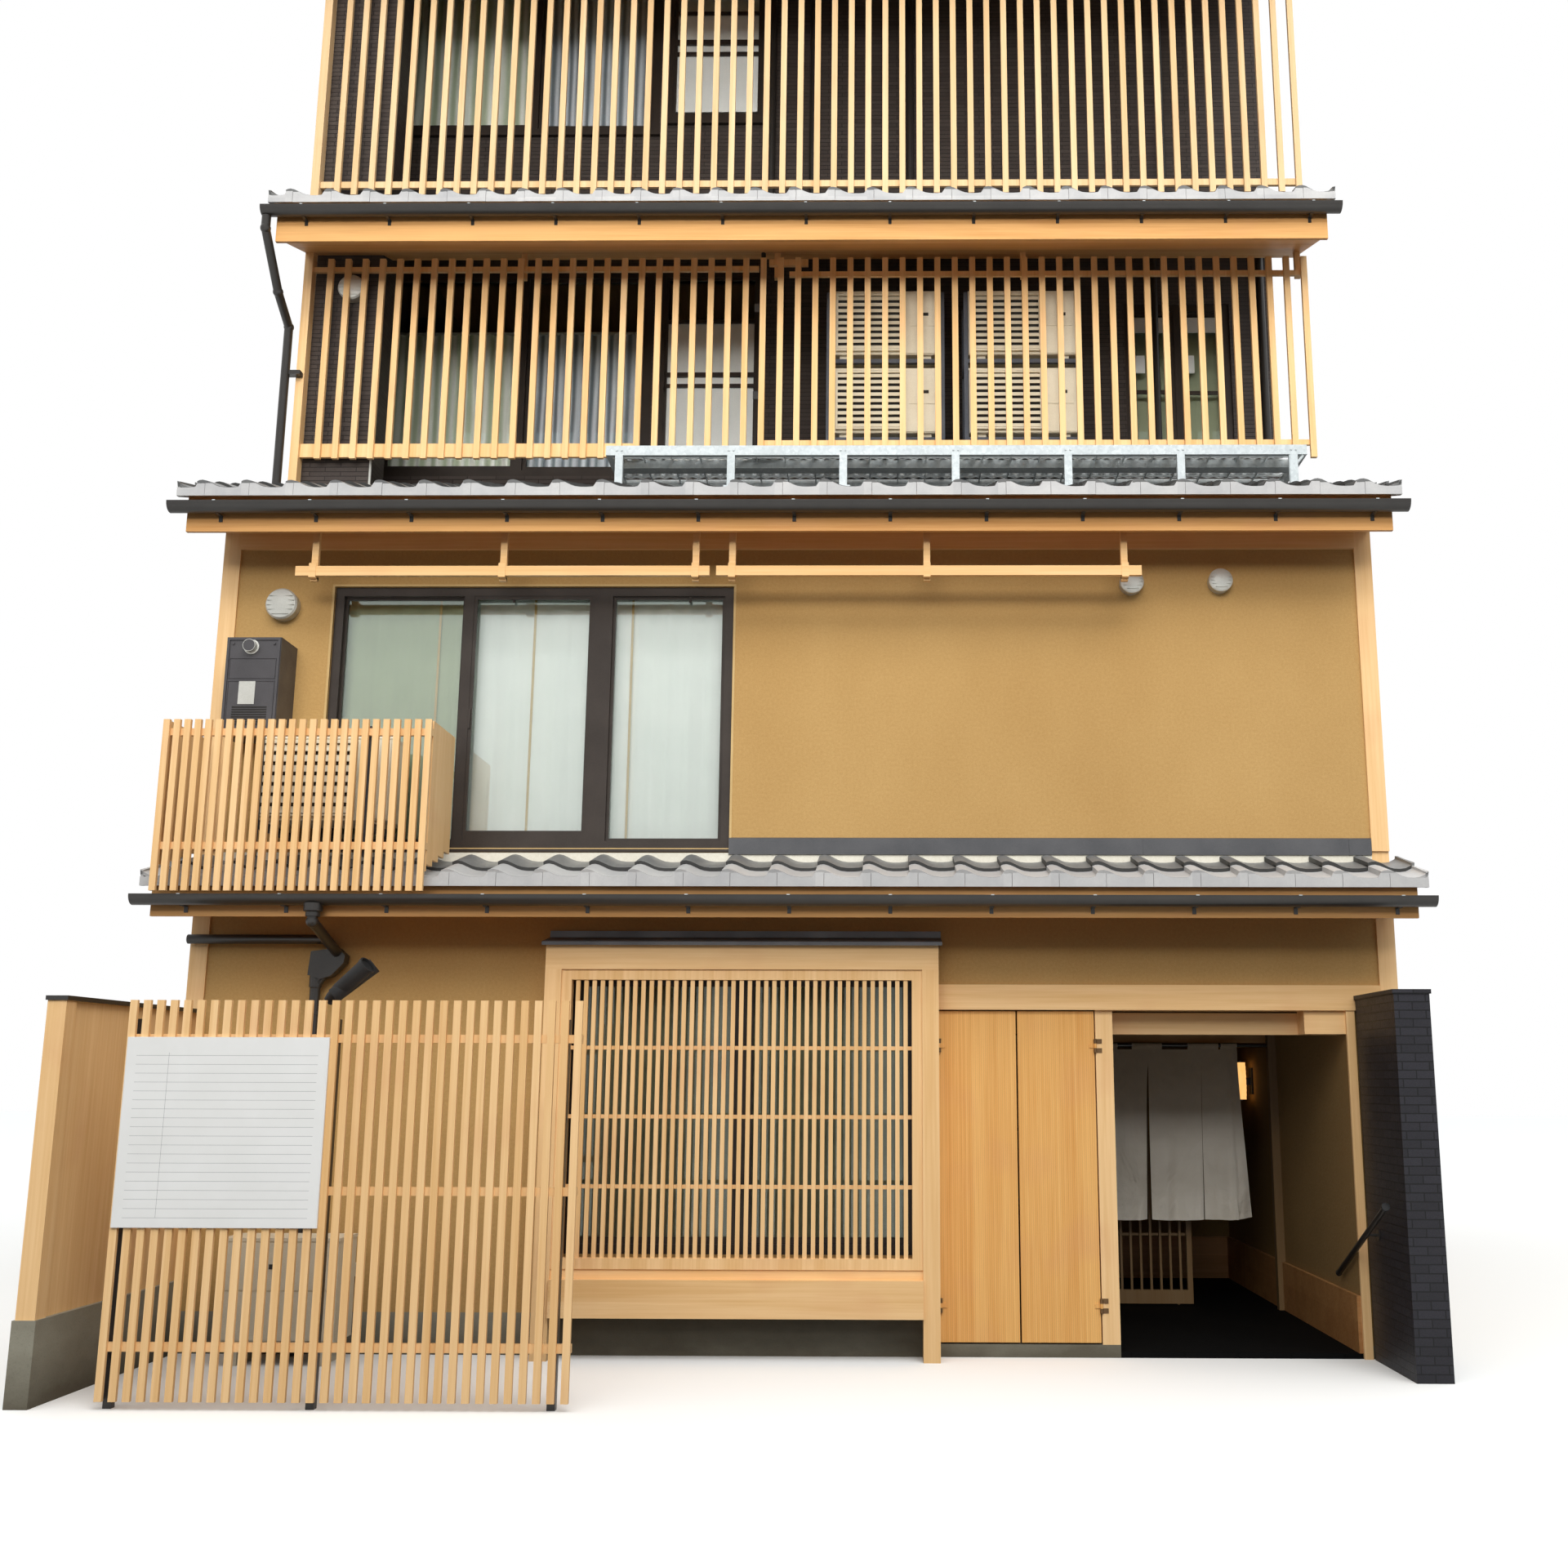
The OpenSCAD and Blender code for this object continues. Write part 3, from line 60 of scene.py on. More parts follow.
def rgb(*screen):
    """A colour as a screen shows it, 0 to 255, as the linear one that shaders take."""
    shares = [c / 255 for c in screen]
    return (*(c / 12.92 if c <= 0.04 else ((c + 0.055) / 1.055) ** 2.4 for c in shares), 1.0)


class Tree:
    """A node tree, with short calls that add nodes and join them."""

    def __init__(self, tree):
        self.nodes = tree.nodes
        self.links = tree.links

    def set(self, socket, value):
        """Links or sets a socket. A colour of three numbers is one as a screen shows it."""
        if isinstance(value, bpy.types.NodeSocket):
            self.links.new(value, socket)
        elif socket.type == "RGBA" and len(value) == 3:
            socket.default_value = rgb(*value)
        else:
            socket.default_value = value

    def add(self, kind, settings=None, **inputs):
        node = self.nodes.new("ShaderNode" + kind)
        for name, value in (settings or {}).items():
            setattr(node, name, value)
        for name, value in inputs.items():
            self.set(node.inputs[name.replace("_", " ")], value)
        return node

    def math(self, operation, a, b=0.0):
        node = self.add("Math", {"operation": operation})
        self.set(node.inputs[0], a)
        self.set(node.inputs[1], b)
        return node.outputs["Value"]

    def total(self, *parts):
        """The sum of some values, each of them times its own share."""
        result = None
        for value, share in parts:
            part = self.math("MULTIPLY", value, share)
            result = part if result is None else self.math("ADD", result, part)
        return result

    def spread(self, value, low, high, to_low=0.0, to_high=1.0):
        """Maps value from low..high to to_low..to_high, held at both ends."""
        node = self.add("MapRange", Value=value, From_Min=low, From_Max=high,
                        To_Min=to_low, To_Max=to_high)
        return node.outputs["Result"]

    def split(self, where):
        return self.add("SeparateXYZ", Vector=where).outputs

    def join(self, x, y, z):
        return self.add("CombineXYZ", X=x, Y=y, Z=z).outputs["Vector"]

    def seen(self):
        """1 for what is seen straight, in a mirror or through glass, and 0 for other rays."""
        rays = self.add("LightPath").outputs
        plain = self.math("MAXIMUM", rays["Is Camera Ray"], rays["Is Glossy Ray"])
        return self.math("MAXIMUM", plain, rays["Is Transmission Ray"])


class Surface(Tree):
    """A material's nodes, placed by the piece's own coordinates in metres."""

    def __init__(self, name, roughness=0.5, metallic=0.0):
        self.material = bpy.data.materials.new(name)
        self.material.use_nodes = True
        super().__init__(self.material.node_tree)
        self.shader = self.nodes["Principled BSDF"]
        self.shader.inputs["Roughness"].default_value = roughness
        self.shader.inputs["Metallic"].default_value = metallic
        self.object_place = self.add("TexCoord").outputs["Object"]

    def axis(self, name):
        return self.split(self.object_place)[name]

    def noise(self, scale, detail=4.0, roughness=0.55, distortion=0.0):
        """Cloudy noise, 0 to 1. Three scales stretch it along the axes."""
        where = self.object_place
        if isinstance(scale, tuple):
            where = self.add("Mapping", Vector=where, Scale=scale).outputs["Vector"]
            scale = 1.0
        node = self.add("TexNoise", Vector=where, Scale=scale, Detail=detail,
                        Roughness=roughness, Distortion=distortion)
        return node.outputs["Fac"]

    def mix(self, share, a, b):
        node = self.add("Mix", {"data_type": "RGBA"})
        for number, value in ((0, share), (6, a), (7, b)):
            self.set(node.inputs[number], value)
        return node.outputs[2]

    def tint(self, colour, other, value, low, high, most=1.0):
        """Mixes colour with another, by up to most, as value goes from low to high."""
        return self.mix(self.spread(value, low, high, 0.0, most), colour, other)

    def white(self, where):
        """A fixed chance value, 0 to 1, for each place."""
        return self.add("TexWhiteNoise", Vector=where).outputs["Value"]

    def cell(self, value, size, shift=0.0):
        """The number of the board, tile or slat that a coordinate lies in."""
        moved = self.math("ADD", value, shift)
        return self.math("FLOOR", self.math("DIVIDE", moved, size))

    def bump(self, height, depth, strength):
        node = self.add("Bump", Strength=strength, Distance=depth, Height=height)
        self.links.new(node.outputs["Normal"], self.shader.inputs["Normal"])

    def finish(self, colour, roughness=None):
        self.set(self.shader.inputs["Base Color"], colour)
        if roughness is not None:
            self.set(self.shader.inputs["Roughness"], roughness)
        return self.material


BOARD_W = 0.066


def wood(name, light, dark, grain="z", board=BOARD_W, seams=False, porch_shade=False):
    """Planed cypress. grain is the axis it runs along, board the width after which
    its tone changes, seams cuts a fine groove between the boards, and the last flag
    paints shade that darkens what stands further in from the street."""
    tree = Surface(name)
    along = "xyz".index(grain)
    fine, broad = [70.0] * 3, [9.0] * 3
    fine[along], broad[along] = 1.6, 0.45
    lines = tree.noise(tuple(fine), 5.0, 0.6, 0.3)
    bands = tree.noise(tuple(broad), 3.0, 0.5, 0.8)
    across = tree.axis("X" if grain == "z" else "Z")
    chance = tree.white(tree.join(tree.cell(across, board, 10.0), 3.0, 7.0))
    tone = tree.total((lines, 0.45), (bands, 0.55), (tree.math("SUBTRACT", chance, 0.5), 0.16))
    colour = tree.tint(light, dark, tone, 0.34, 0.68)
    flush = tree.noise(2.2, 2.0)
    colour = tree.tint(colour, (214, 150, 108), flush, 0.55, 0.8, 0.3)
    # Painted shade: the wood darkens the deeper it stands inside the porch.
    if porch_shade:
        colour = tree.tint(colour, (84, 62, 36), tree.axis("Y"), -4.3, -3.1, 0.85)
    height = tree.spread(lines, 0.3, 0.7)
    if seams:
        place_in = tree.math("FRACT", tree.math("DIVIDE", tree.math("ADD", across, 10.0), board))
        edge = tree.math("ABSOLUTE", tree.math("SUBTRACT", place_in, 0.5))
        groove = tree.spread(edge, 0.475, 0.49)
        colour = tree.mix(groove, colour, (120, 78, 40))
        tree.bump(tree.total((height, 0.1), (groove, -1.0)), 0.002, 0.6)
    else:
        tree.bump(height, 0.0004, 0.5)
    return tree.finish(colour, tree.spread(lines, 0.3, 0.7, 0.48, 0.62))


def plaster(name, base, shade):
    """Sand-textured wall coating with faint cloudy patches."""
    tree = Surface(name)
    sand = tree.noise(230.0, 3.0, 0.7)
    comb = tree.noise(60.0, 4.0, 0.6)
    cloud = tree.noise((0.9, 0.9, 0.5), 4.0, 0.6)
    tone = tree.total((sand, 0.5), (comb, 0.3), (cloud, 0.35))
    tree.bump(tree.total((sand, 0.5), (comb, 1.0)), 0.003, 0.55)
    return tree.finish(tree.tint(base, shade, tone, 0.42, 0.74), 0.9)


def courses(name, base, shade, joint, course, brick, gap, roughness, sheen=0.5):
    """Tiles or bricks laid in level courses on an upright face."""
    tree = Surface(name)
    tree.shader.inputs["Specular IOR Level"].default_value = sheen
    across = tree.math("ADD", tree.axis("X"), tree.axis("Y"))
    where = tree.join(across, tree.axis("Z"), 0.0)
    node = tree.add("TexBrick", Vector=where, Scale=1.0, Color1=base, Color2=shade, Mortar=joint,
                    Mortar_Size=gap, Mortar_Smooth=0.2, Brick_Width=brick, Row_Height=course)
    grit = tree.noise(140.0, 4.0, 0.6)
    cloud = tree.noise(0.7, 3.0)
    colour = tree.tint(node.outputs["Color"], joint, grit, 0.35, 0.75, 0.35)
    colour = tree.tint(colour, shade, cloud, 0.4, 0.7, 0.25)
    tree.bump(tree.total((grit, 0.2), (node.outputs["Fac"], -1.0)), 0.003, 0.8)
    return tree.finish(colour, tree.spread(grit, 0.3, 0.7, roughness - 0.07, roughness + 0.07))


def smoked_tile(name, light, dark):
    """Smoked roof tile: silver-grey with a slow change from tile to tile."""
    tree = Surface(name)
    column = tree.cell(tree.axis("X"), TILE_PITCH / 1000, -FIRST_TILE_X / 1000)
    row = tree.cell(tree.total((tree.axis("Y"), 1.0), (tree.axis("Z"), 0.36)), TILE_SHOWN / 1000)
    chance = tree.white(tree.join(column, row, 1.0))
    grit = tree.noise(90.0, 5.0, 0.6)
    stain = tree.noise((5.0, 2.0, 5.0), 5.0, 0.65)
    tone = tree.total((chance, 0.25), (stain, 0.75))
    colour = tree.tint(light, dark, tone, 0.25, 0.75)
    colour = tree.tint(colour, dark, grit, 0.45, 0.8, 0.3)
    tree.bump(grit, 0.0006, 0.4)
    return tree.finish(colour, tree.spread(stain, 0.3, 0.7, 0.34, 0.52))


def painted(name, base, shade, roughness, metallic=0.0):
    """Painted or coated metal and plastic: even colour, slight dust and unevenness."""
    tree = Surface(name, roughness, metallic)
    fine = tree.noise(180.0, 3.0)
    broad = tree.noise(3.6, 4.0, 0.6)
    tone = tree.total((fine, 0.4), (broad, 0.6))
    tree.bump(fine, 0.0004, 0.3)
    return tree.finish(tree.tint(base, shade, tone, 0.35, 0.7),
                       tree.spread(broad, 0.3, 0.7, roughness - 0.06, roughness + 0.1))


def concrete(name, base, shade):
    """Smooth concrete with pores and cloudy patches, darker towards the ground."""
    tree = Surface(name)
    pores = tree.noise(120.0, 4.0, 0.7)
    cloud = tree.noise((2.0, 2.0, 3.5), 6.0, 0.65)
    foot = tree.spread(tree.axis("Z"), 0.0, 0.28, 0.5, 0.0)
    low_dark = tree.total((foot, 1.0), (cloud, 0.7))
    colour = tree.tint(base, shade, low_dark, 0.3, 0.85)
    colour = tree.tint(colour, (52, 50, 45), pores, 0.55, 0.75, 0.35)
    tree.bump(tree.math("ADD", pores, cloud), 0.0015, 0.5)
    return tree.finish(colour, 0.85)


def galvanised(name, light, dark, dull):
    """Zinc-coated steel with its spangle."""
    tree = Surface(name, 0.5, 0.35)
    node = tree.add("TexVoronoi", Vector=tree.object_place, Scale=55.0)
    cloud = tree.noise(5.0, 4.0)
    colour = tree.mix(tree.split(node.outputs["Color"])[0], light, dark)
    colour = tree.tint(colour, dull, cloud, 0.45, 0.75, 0.4)
    return tree.finish(colour, tree.spread(cloud, 0.3, 0.7, 0.32, 0.5))


def linen_cloth(name, base, shade):
    """Coarse linen with its weave and the creases of folding."""
    tree = Surface(name, 0.92)
    weave = tree.noise(420.0, 2.0)
    crease = tree.noise((3.6, 3.6, 2.2), 4.0, 0.5, 1.6)
    cloud = tree.noise((1.5, 1.5, 2.5), 3.0)
    tree.bump(tree.total((weave, 0.01), (crease, 1.0)), 0.05, 0.8)
    return tree.finish(tree.tint(base, shade, cloud, 0.35, 0.7))


def fold_shaded(name, light, dark, pitch):
    """Sheer cloth in gathered folds: upright bands, paler where a fold doubles the cloth
    and darker with painted shade in the hollows between.
    """
    tree = Surface(name, 0.95)
    wander = tree.noise((3.0, 3.0, 0.4), 2.0)
    turn = tree.total((tree.axis("X"), math.tau / pitch), (wander, 9.0))
    weave = tree.noise((180.0, 180.0, 60.0), 3.0)
    share = tree.total((tree.math("SINE", turn), 1.0), (weave, 0.5))
    return tree.finish(tree.tint(dark, light, share, -0.6, 1.1))


def ruled(name, base, dusty, line, low, high, pitch, column):
    """A white board with the grey rules of an empty form, from (x, z) to (x, z)."""
    tree = Surface(name, 0.4)
    x, z = tree.axis("X"), tree.axis("Z")
    row = tree.math("FRACT", tree.math("DIVIDE", tree.math("SUBTRACT", z, low[1]), pitch))
    level = tree.math("LESS_THAN", row, 0.0016 / pitch)
    upright = tree.math("COMPARE", x, column)
    upright.node.inputs[2].default_value = 0.0008
    marks = tree.math("MAXIMUM", level, upright)
    for value, edge, side in ((x, low[0], "GREATER_THAN"), (x, high[0], "LESS_THAN"),
                              (z, low[1], "GREATER_THAN"), (z, high[1], "LESS_THAN")):
        marks = tree.math("MULTIPLY", marks, tree.math(side, value, edge))
    dust = tree.noise(3.0, 4.0, 0.6)
    colour = tree.tint(base, dusty, dust, 0.35, 0.7, 0.5)
    return tree.finish(tree.mix(marks, colour, line))


def glowing(name, paper, glow, strength):
    """Lit paper with its fibres."""
    tree = Surface(name, 0.8)
    fibre = tree.noise((60.0, 60.0, 14.0), 4.0)
    tree.set(tree.shader.inputs["Emission Color"], tree.mix(fibre, glow, paper))
    tree.shader.inputs["Emission Strength"].default_value = strength
    return tree.finish(paper)


def clear_glass(name, light, dark):
    """Window glass that mirrors a little sky, coated above the ground storey and
    most of all at the second."""
    tree = Surface(name, 0.03, 1.0)
    ripple = tree.noise((1.2, 1.2, 0.8), 2.0)
    tree.bump(ripple, 0.002, 0.15)
    fresnel = tree.add("Fresnel", IOR=1.5).outputs["Fac"]
    second, third = (tree.math("GREATER_THAN", tree.axis("Z"), sill) for sill in (2.4, 5.5))
    coating = tree.total((second, 0.14), (third, -0.105))
    tree.set(tree.shader.inputs["Alpha"], tree.math("MAXIMUM", fresnel, coating))
    return tree.finish(tree.mix(ripple, light, dark))


CYPRESS_LIGHT = (244, 204, 150)
CYPRESS_DARK = (226, 180, 120)
FORM_LOW, FORM_HIGH = (-3.09, 0.875), (-2.2, 1.655)
FORM_ROW, FORM_COLUMN = 0.0425, -2.93

MAKERS = {
    "cypress_up": (wood, CYPRESS_LIGHT, CYPRESS_DARK),
    "pale_cypress": (wood, (228, 196, 152), (210, 174, 126)),
    # Cypress with painted shade that deepens inside the porch.
    "porch_cypress": (wood, CYPRESS_LIGHT, CYPRESS_DARK, "z", BOARD_W, False, True),
    "cypress_across": (wood, CYPRESS_LIGHT, CYPRESS_DARK, "x", 0.12),
    "door_boards": (wood, (240, 186, 112), (222, 160, 86), "z", 0.012, True),
    "wainscot": (wood, (180, 132, 82), (154, 106, 60), "x", 0.2),
    "eave_wood": (wood, (226, 172, 108), (196, 140, 80), "x", 0.12),
    "floor_wood": (wood, (170, 130, 90), (140, 100, 66), "y", 0.09),
    "plaster": (plaster, (196, 160, 104), (172, 134, 80)),
    # A darker copy of the plaster with painted shade, for the walls inside the porch.
    "porch_plaster": (plaster, (150, 120, 74), (126, 98, 56)),
    "white_plaster": (plaster, (240, 236, 222), (214, 208, 190)),
    "siding": (courses, (74, 66, 61), (62, 54, 50), (32, 27, 25), 0.034, 0.22, 0.0028, 0.6),
    "pillar_tile": (courses, (44, 43, 49), (34, 33, 38), (9, 9, 11),
                    0.0455, 0.145, 0.0034, 0.5, 0.3),
    "floor_tile": (courses, (13, 13, 13), (10, 10, 10), (6, 6, 6),
                   0.3, 0.3, 0.003, 0.85, 0.1),
    "roof_tile": (smoked_tile, (128, 128, 126), (98, 99, 100)),
    # A lighter copy of the tile with painted light, and a dark tile edge with painted shade.
    "tile_front": (smoked_tile, (196, 195, 193), (166, 166, 167)),
    "tile_edge": (painted, (66, 66, 64), (52, 52, 52), 0.6),
    "concrete": (concrete, (150, 146, 130), (98, 92, 78)),
    "dark_metal": (painted, (46, 43, 40), (34, 32, 30), 0.34),
    "black_metal": (painted, (20, 20, 21), (14, 14, 15), 0.6),
    "flashing": (painted, (94, 94, 96), (76, 77, 80), 0.45, 0.3),
    "window_frame": (painted, (60, 52, 46), (46, 40, 36), 0.42, 0.2),
    "galvanised": (galvanised, (208, 215, 216), (190, 198, 200), (182, 189, 191)),
    "unit_case": (painted, (226, 218, 196), (210, 200, 176), 0.5),
    "unit_dark": (painted, (44, 42, 38), (34, 32, 29), 0.7),
    "heater_case": (painted, (84, 82, 84), (66, 64, 66), 0.4, 0.3),
    "vent_metal": (painted, (208, 208, 202), (186, 186, 178), 0.4, 0.4),
    "stand_steel": (painted, (92, 96, 104), (72, 76, 84), 0.45, 0.3),
    "hinge_bronze": (painted, (112, 84, 52), (92, 68, 42), 0.4, 0.5),
    "board": (painted, (232, 232, 230), (222, 222, 220), 0.4),
    "form_board": (ruled, (234, 234, 232), (222, 222, 218), (150, 150, 152),
                   FORM_LOW, FORM_HIGH, FORM_ROW, FORM_COLUMN),
    "glass": (clear_glass, (236, 246, 238), (226, 238, 230)),
    "film": (painted, (250, 252, 248), (238, 242, 238), 0.8),
    "linen": (linen_cloth, (250, 244, 232), (232, 225, 210)),
    "lace": (fold_shaded, (255, 255, 248), (196, 206, 180), 0.085),
    "grey_lace": (fold_shaded, (240, 244, 250), (128, 138, 146), 0.07),
    "shaded_lace": (painted, (176, 186, 156), (162, 172, 144), 0.95),
    # The bay's curtain cloth, darkened with painted shade.
    "shade_cloth": (painted, (150, 152, 126), (134, 136, 110), 0.95),
    "sealant": (painted, (206, 176, 122), (190, 158, 106), 0.7),
    "lamp_paper": (glowing, (255, 206, 136), (255, 172, 82), 1.15),
}
looks = {name: make(name, *values) for name, (make, *values) in MAKERS.items()}

NODE_LOOKS = {
    "cypress_up": "front_posts bay_posts bay_lattice fence_panel wing_wall third_screen lattice_box",
    "pale_cypress": "fourth_screen",
    "porch_cypress": "porch_posts lattice_door",
    "cypress_across": "timber_beams bay_beams blind_rails",
    "door_boards": "left_door_leaf right_door_leaf",
    "wainscot": "porch_wainscot",
    "eave_wood": "eave_boards",
    "floor_wood": "upper_floors",
    "plaster": "ground_wall_left ground_wall_right second_front_wall party_walls lower_back_wall",
    "porch_plaster": "porch_walls",
    "siding": "upper_front_wall upper_side_walls upper_back_wall balcony_shaft",
    "pillar_tile": "entrance_pillar",
    "roof_tile": "pent_roof main_roof upper_roof top_roof",
    "concrete": "foundation",
    "floor_tile": "porch_floor",
    "dark_metal": "noren_rod handrail fence_posts gate_post gutters downpipes metal_caps",
    "black_metal": "spotlight",
    "window_frame": "front_window_frames back_window_frames",
    "galvanised": "roof_platform",
    "stand_steel": "unit_stands",
    "hinge_bronze": "door_hinges",
    "unit_case": "outdoor_units",
    "heater_case": "water_heater",
    "vent_metal": "wall_vents",
    "form_board": "notice_board",
    "glass": "window_glass",
    "linen": "noren",
    "lamp_paper": "wall_lamp",
}


def at(x, y, z):
    """A point of the street frame in millimetres as one of the model in metres."""
    return (x / 1000, (y + STREET_Y) / 1000, z / 1000)


def turns(sides):
    return [math.tau * k / sides for k in range(sides)]


def placed(name, data):
    """A new object in the scene."""
    thing = bpy.data.objects.new(name, data)
    bpy.context.scene.collection.objects.link(thing)
    return thing


class Shape:
    """One piece's mesh, drawn in millimetres from an origin in the street frame."""

    def __init__(self, origin=(0, 0, 0)):
        self.origin = origin
        self.points = []
        self.faces = []
        self.looks = []
        self.look = 0

    def add(self, points, faces):
        first = len(self.points)
        ox, oy, oz = self.origin
        self.points += [at(ox + x, oy + y, oz + z) for x, y, z in points]
        self.faces += [[first + i for i in face] for face in faces]
        self.looks += [self.look] * len(faces)

    def loft(self, rings, round_again=False):
        """A body through outlines of equal count, closed at both ends or on itself."""
        count = len(rings[0])
        spans = len(rings) if round_again else len(rings) - 1
        faces = []
        for r in range(spans):
            near, far = r * count, (r + 1) % len(rings) * count
            for i in range(count):
                j = (i + 1) % count
                faces.append([near + i, near + j, far + j, far + i])
        if not round_again:
            last = (len(rings) - 1) * count
            faces += [list(range(count))[::-1], [last + i for i in range(count)]]
        self.add([point for ring in rings for point in ring], faces)

    def net(self, points, columns):
        """A sheet over rows of points, a row having one point more than columns."""
        wide = columns + 1
        rows = len(points) // wide - 1
        corners = [r * wide + c for r in range(rows) for c in range(columns)]
        self.add(points, [[i, i + 1, i + wide + 1, i + wide] for i in corners])

    def box(self, low, high):
        (x0, y0, z0), (x1, y1, z1) = low, high
        self.loft([[(x0, y0, z), (x1, y0, z), (x1, y1, z), (x0, y1, z)] for z in (z0, z1)])

    def run_x(self, x0, x1, outline):
        """An outline of (y, z) points, run along X."""
        self.loft([[(x, y, z) for y, z in outline] for x in (x0, x1)])

    def run_y(self, y0, y1, outline):
        """An outline of (x, z) points, run along Y."""
        self.loft([[(x, y, z) for x, z in outline] for y in (y0, y1)])

    def tube(self, path, radius, sides):
        """A round bar along a path of points."""
        path = [Vector(point) for point in path]
        rings = []
        for i, point in enumerate(path):
            way = (path[min(i + 1, len(path) - 1)] - path[max(i - 1, 0)]).normalized()
            side = way.cross(Vector((0, 0, 1)))
            side = side.normalized() if side.length > 0.05 else Vector((1, 0, 0))
            up = side.cross(way).normalized()
            rings.append([tuple(point + radius * (math.cos(a) * side + math.sin(a) * up))
                          for a in turns(sides)])
        self.loft(rings)

    def lathe(self, centre, axis, profile, sides):
        """A turned body about an axis; profile is a list of (radius, place along the axis)."""
        turn = Vector(axis).normalized().to_track_quat("Z", "Y")
        self.loft([[tuple(Vector(centre) + turn @ Vector((r * math.cos(a), r * math.sin(a), along)))
                    for a in turns(sides)] for r, along in profile])

    def frame(self, low, high, width, y0, y1, foot=None):
        """A rectangular frame in the plane of a wall, from (x, z) to (x, z)."""
        (x0, z0), (x1, z1) = low, high
        outer = [(x0, z0), (x1, z0), (x1, z1), (x0, z1)]
        z0 += foot or width
        z1 -= width
        inner = [(x0 + width, z0), (x1 - width, z0), (x1 - width, z1), (x0 + width, z1)]
        self.loft([[(x, y, z) for x, z in outline] for outline, y in
                   ((outer, y0), (inner, y0), (inner, y1), (outer, y1))], round_again=True)

    def done(self, name, look, slot=None, nodes=(), angle=35, flip=True, more=()):
        """Makes the piece; slot is not used. More lists the looks of the faces drawn with
        look 1, 2 and on."""
        mesh = bpy.data.meshes.new(name)
        mesh.from_pydata(self.points, [], self.faces)
        mesh.polygons.foreach_set("material_index", self.looks)
        if flip:
            work = bmesh.new()
            work.from_mesh(mesh)
            bmesh.ops.recalc_face_normals(work, faces=work.faces)
            work.to_mesh(mesh)
            work.free()
        mesh.shade_smooth()
        mesh.set_sharp_from_angle(angle=math.radians(angle))
        for each in (look, *more):
            mesh.materials.append(looks[each])
        piece = placed(name, mesh)
        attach(piece, "house")
        if nodes:
            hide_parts(*nodes)
        return piece


TILE_LAP = 60
TILE_T = 20
TILE_LOW = 46
TILE_ROLL = 44
TILE_LIP = 36
TILE_WAVE = [(0.0, 0.8), (0.06, 0.95), (0.13, 1.0), (0.22, 0.88), (0.32, 0.6), (0.42, 0.3),
             (0.52, 0.1), (0.65, 0.0), (0.8, 0.0), (0.91, 0.05), (1.0, 0.16)]
VERGE_WAVE = [(0.0, 0.8), (0.07, 0.95), (0.15, 1.0), (0.25, 0.85), (0.36, 0.5), (0.46, 0.2),
              (0.56, 0.03), (0.7, 0.0), (0.82, 0.1), (0.92, 0.4), (1.0, 0.85)]
LEFT_WAVE = [(t, 0.85 - 0.85 * min(1, t / 0.6) ** 0.7 + (0.1 if t > 0.9 else 0)) for t, _ in TILE_WAVE]
# The looks a tile slope adds: a lighter copy of the tile with painted light, and a dark edge with painted
# shade.
TILE_LOOKS = ("tile_front", "tile_edge")
VERGE_W = 16
VERGE_TOP = TILE_LOW + 34
SEAT = 12
PLATE_T = 18
PLATE_AHEAD = 24
PLATE_JOINT = 0.18
PLATE_STEPS = 12
DECK_T = 19


def unturned(x, y, z):
    return (x, y, z)


def on_slope(eave, along, height):
    """The (y, z) of a point over the underside of a roof, square to its slope."""
    return (eave[0] + along * math.cos(SLOPE) - height * math.sin(SLOPE),
            eave[1] + along * math.sin(SLOPE) + height * math.cos(SLOPE))


def wave_at(share):
    """Height of a tile's wave at a share of its width, 0 to 1."""
    share %= 1.0
    for (a, low), (b, high) in zip(TILE_WAVE, TILE_WAVE[1:]):
        if share <= b:
            return low + (high - low) * (share - a) / (b - a)
    return TILE_WAVE[-1][1]


def tile(shape, eave, x, width, wave, start, end, lift, turned):
    """One pantile from start to end along the slope; its head lies under the next row.
    Above the first row, its lip and front edge take the darker edge look, painted with
    the shade that the row above casts."""
    tops = [(x + t * width, TILE_LOW + lift + TILE_ROLL * r) for t, r in wave]
    feet = [(px, h - TILE_T) for px, h in tops]
    feet[0] = (x, tops[0][1] - TILE_LIP)
    rings = []
    for along in (start, end):
        fall = TILE_T * (along - start) / TILE_SHOWN
        rings.append([turned(px, *on_slope(eave, along, h - fall)) for px, h in tops + feet[::-1]])
    front_edge = len(shape.faces) + 2 * len(tops)
    shape.loft(rings)
    if start > TILE_SHOWN / 2:
        shape.looks[front_edge - 1] = 2
        shape.looks[front_edge] = 2


def front_plate(shape, eave, x0, x1, y, turned):
    """The flat front of the eave tiles between two joints, with a straight foot."""
    tops = []
    for i in range(PLATE_STEPS + 1):
        x = x0 + (x1 - x0) * i / PLATE_STEPS
        height = TILE_LOW + TILE_ROLL * wave_at((x - FIRST_TILE_X) / TILE_PITCH) - 2
        tops.append((x, eave[1] + (y - eave[0]) * RISE + height / math.cos(SLOPE)))
    outline = tops + [(x1, eave[1] - SEAT), (x0, eave[1] - SEAT)]
    shape.loft([[turned(px, py, pz) for px, pz in outline] for py in (y, y + PLATE_T)])


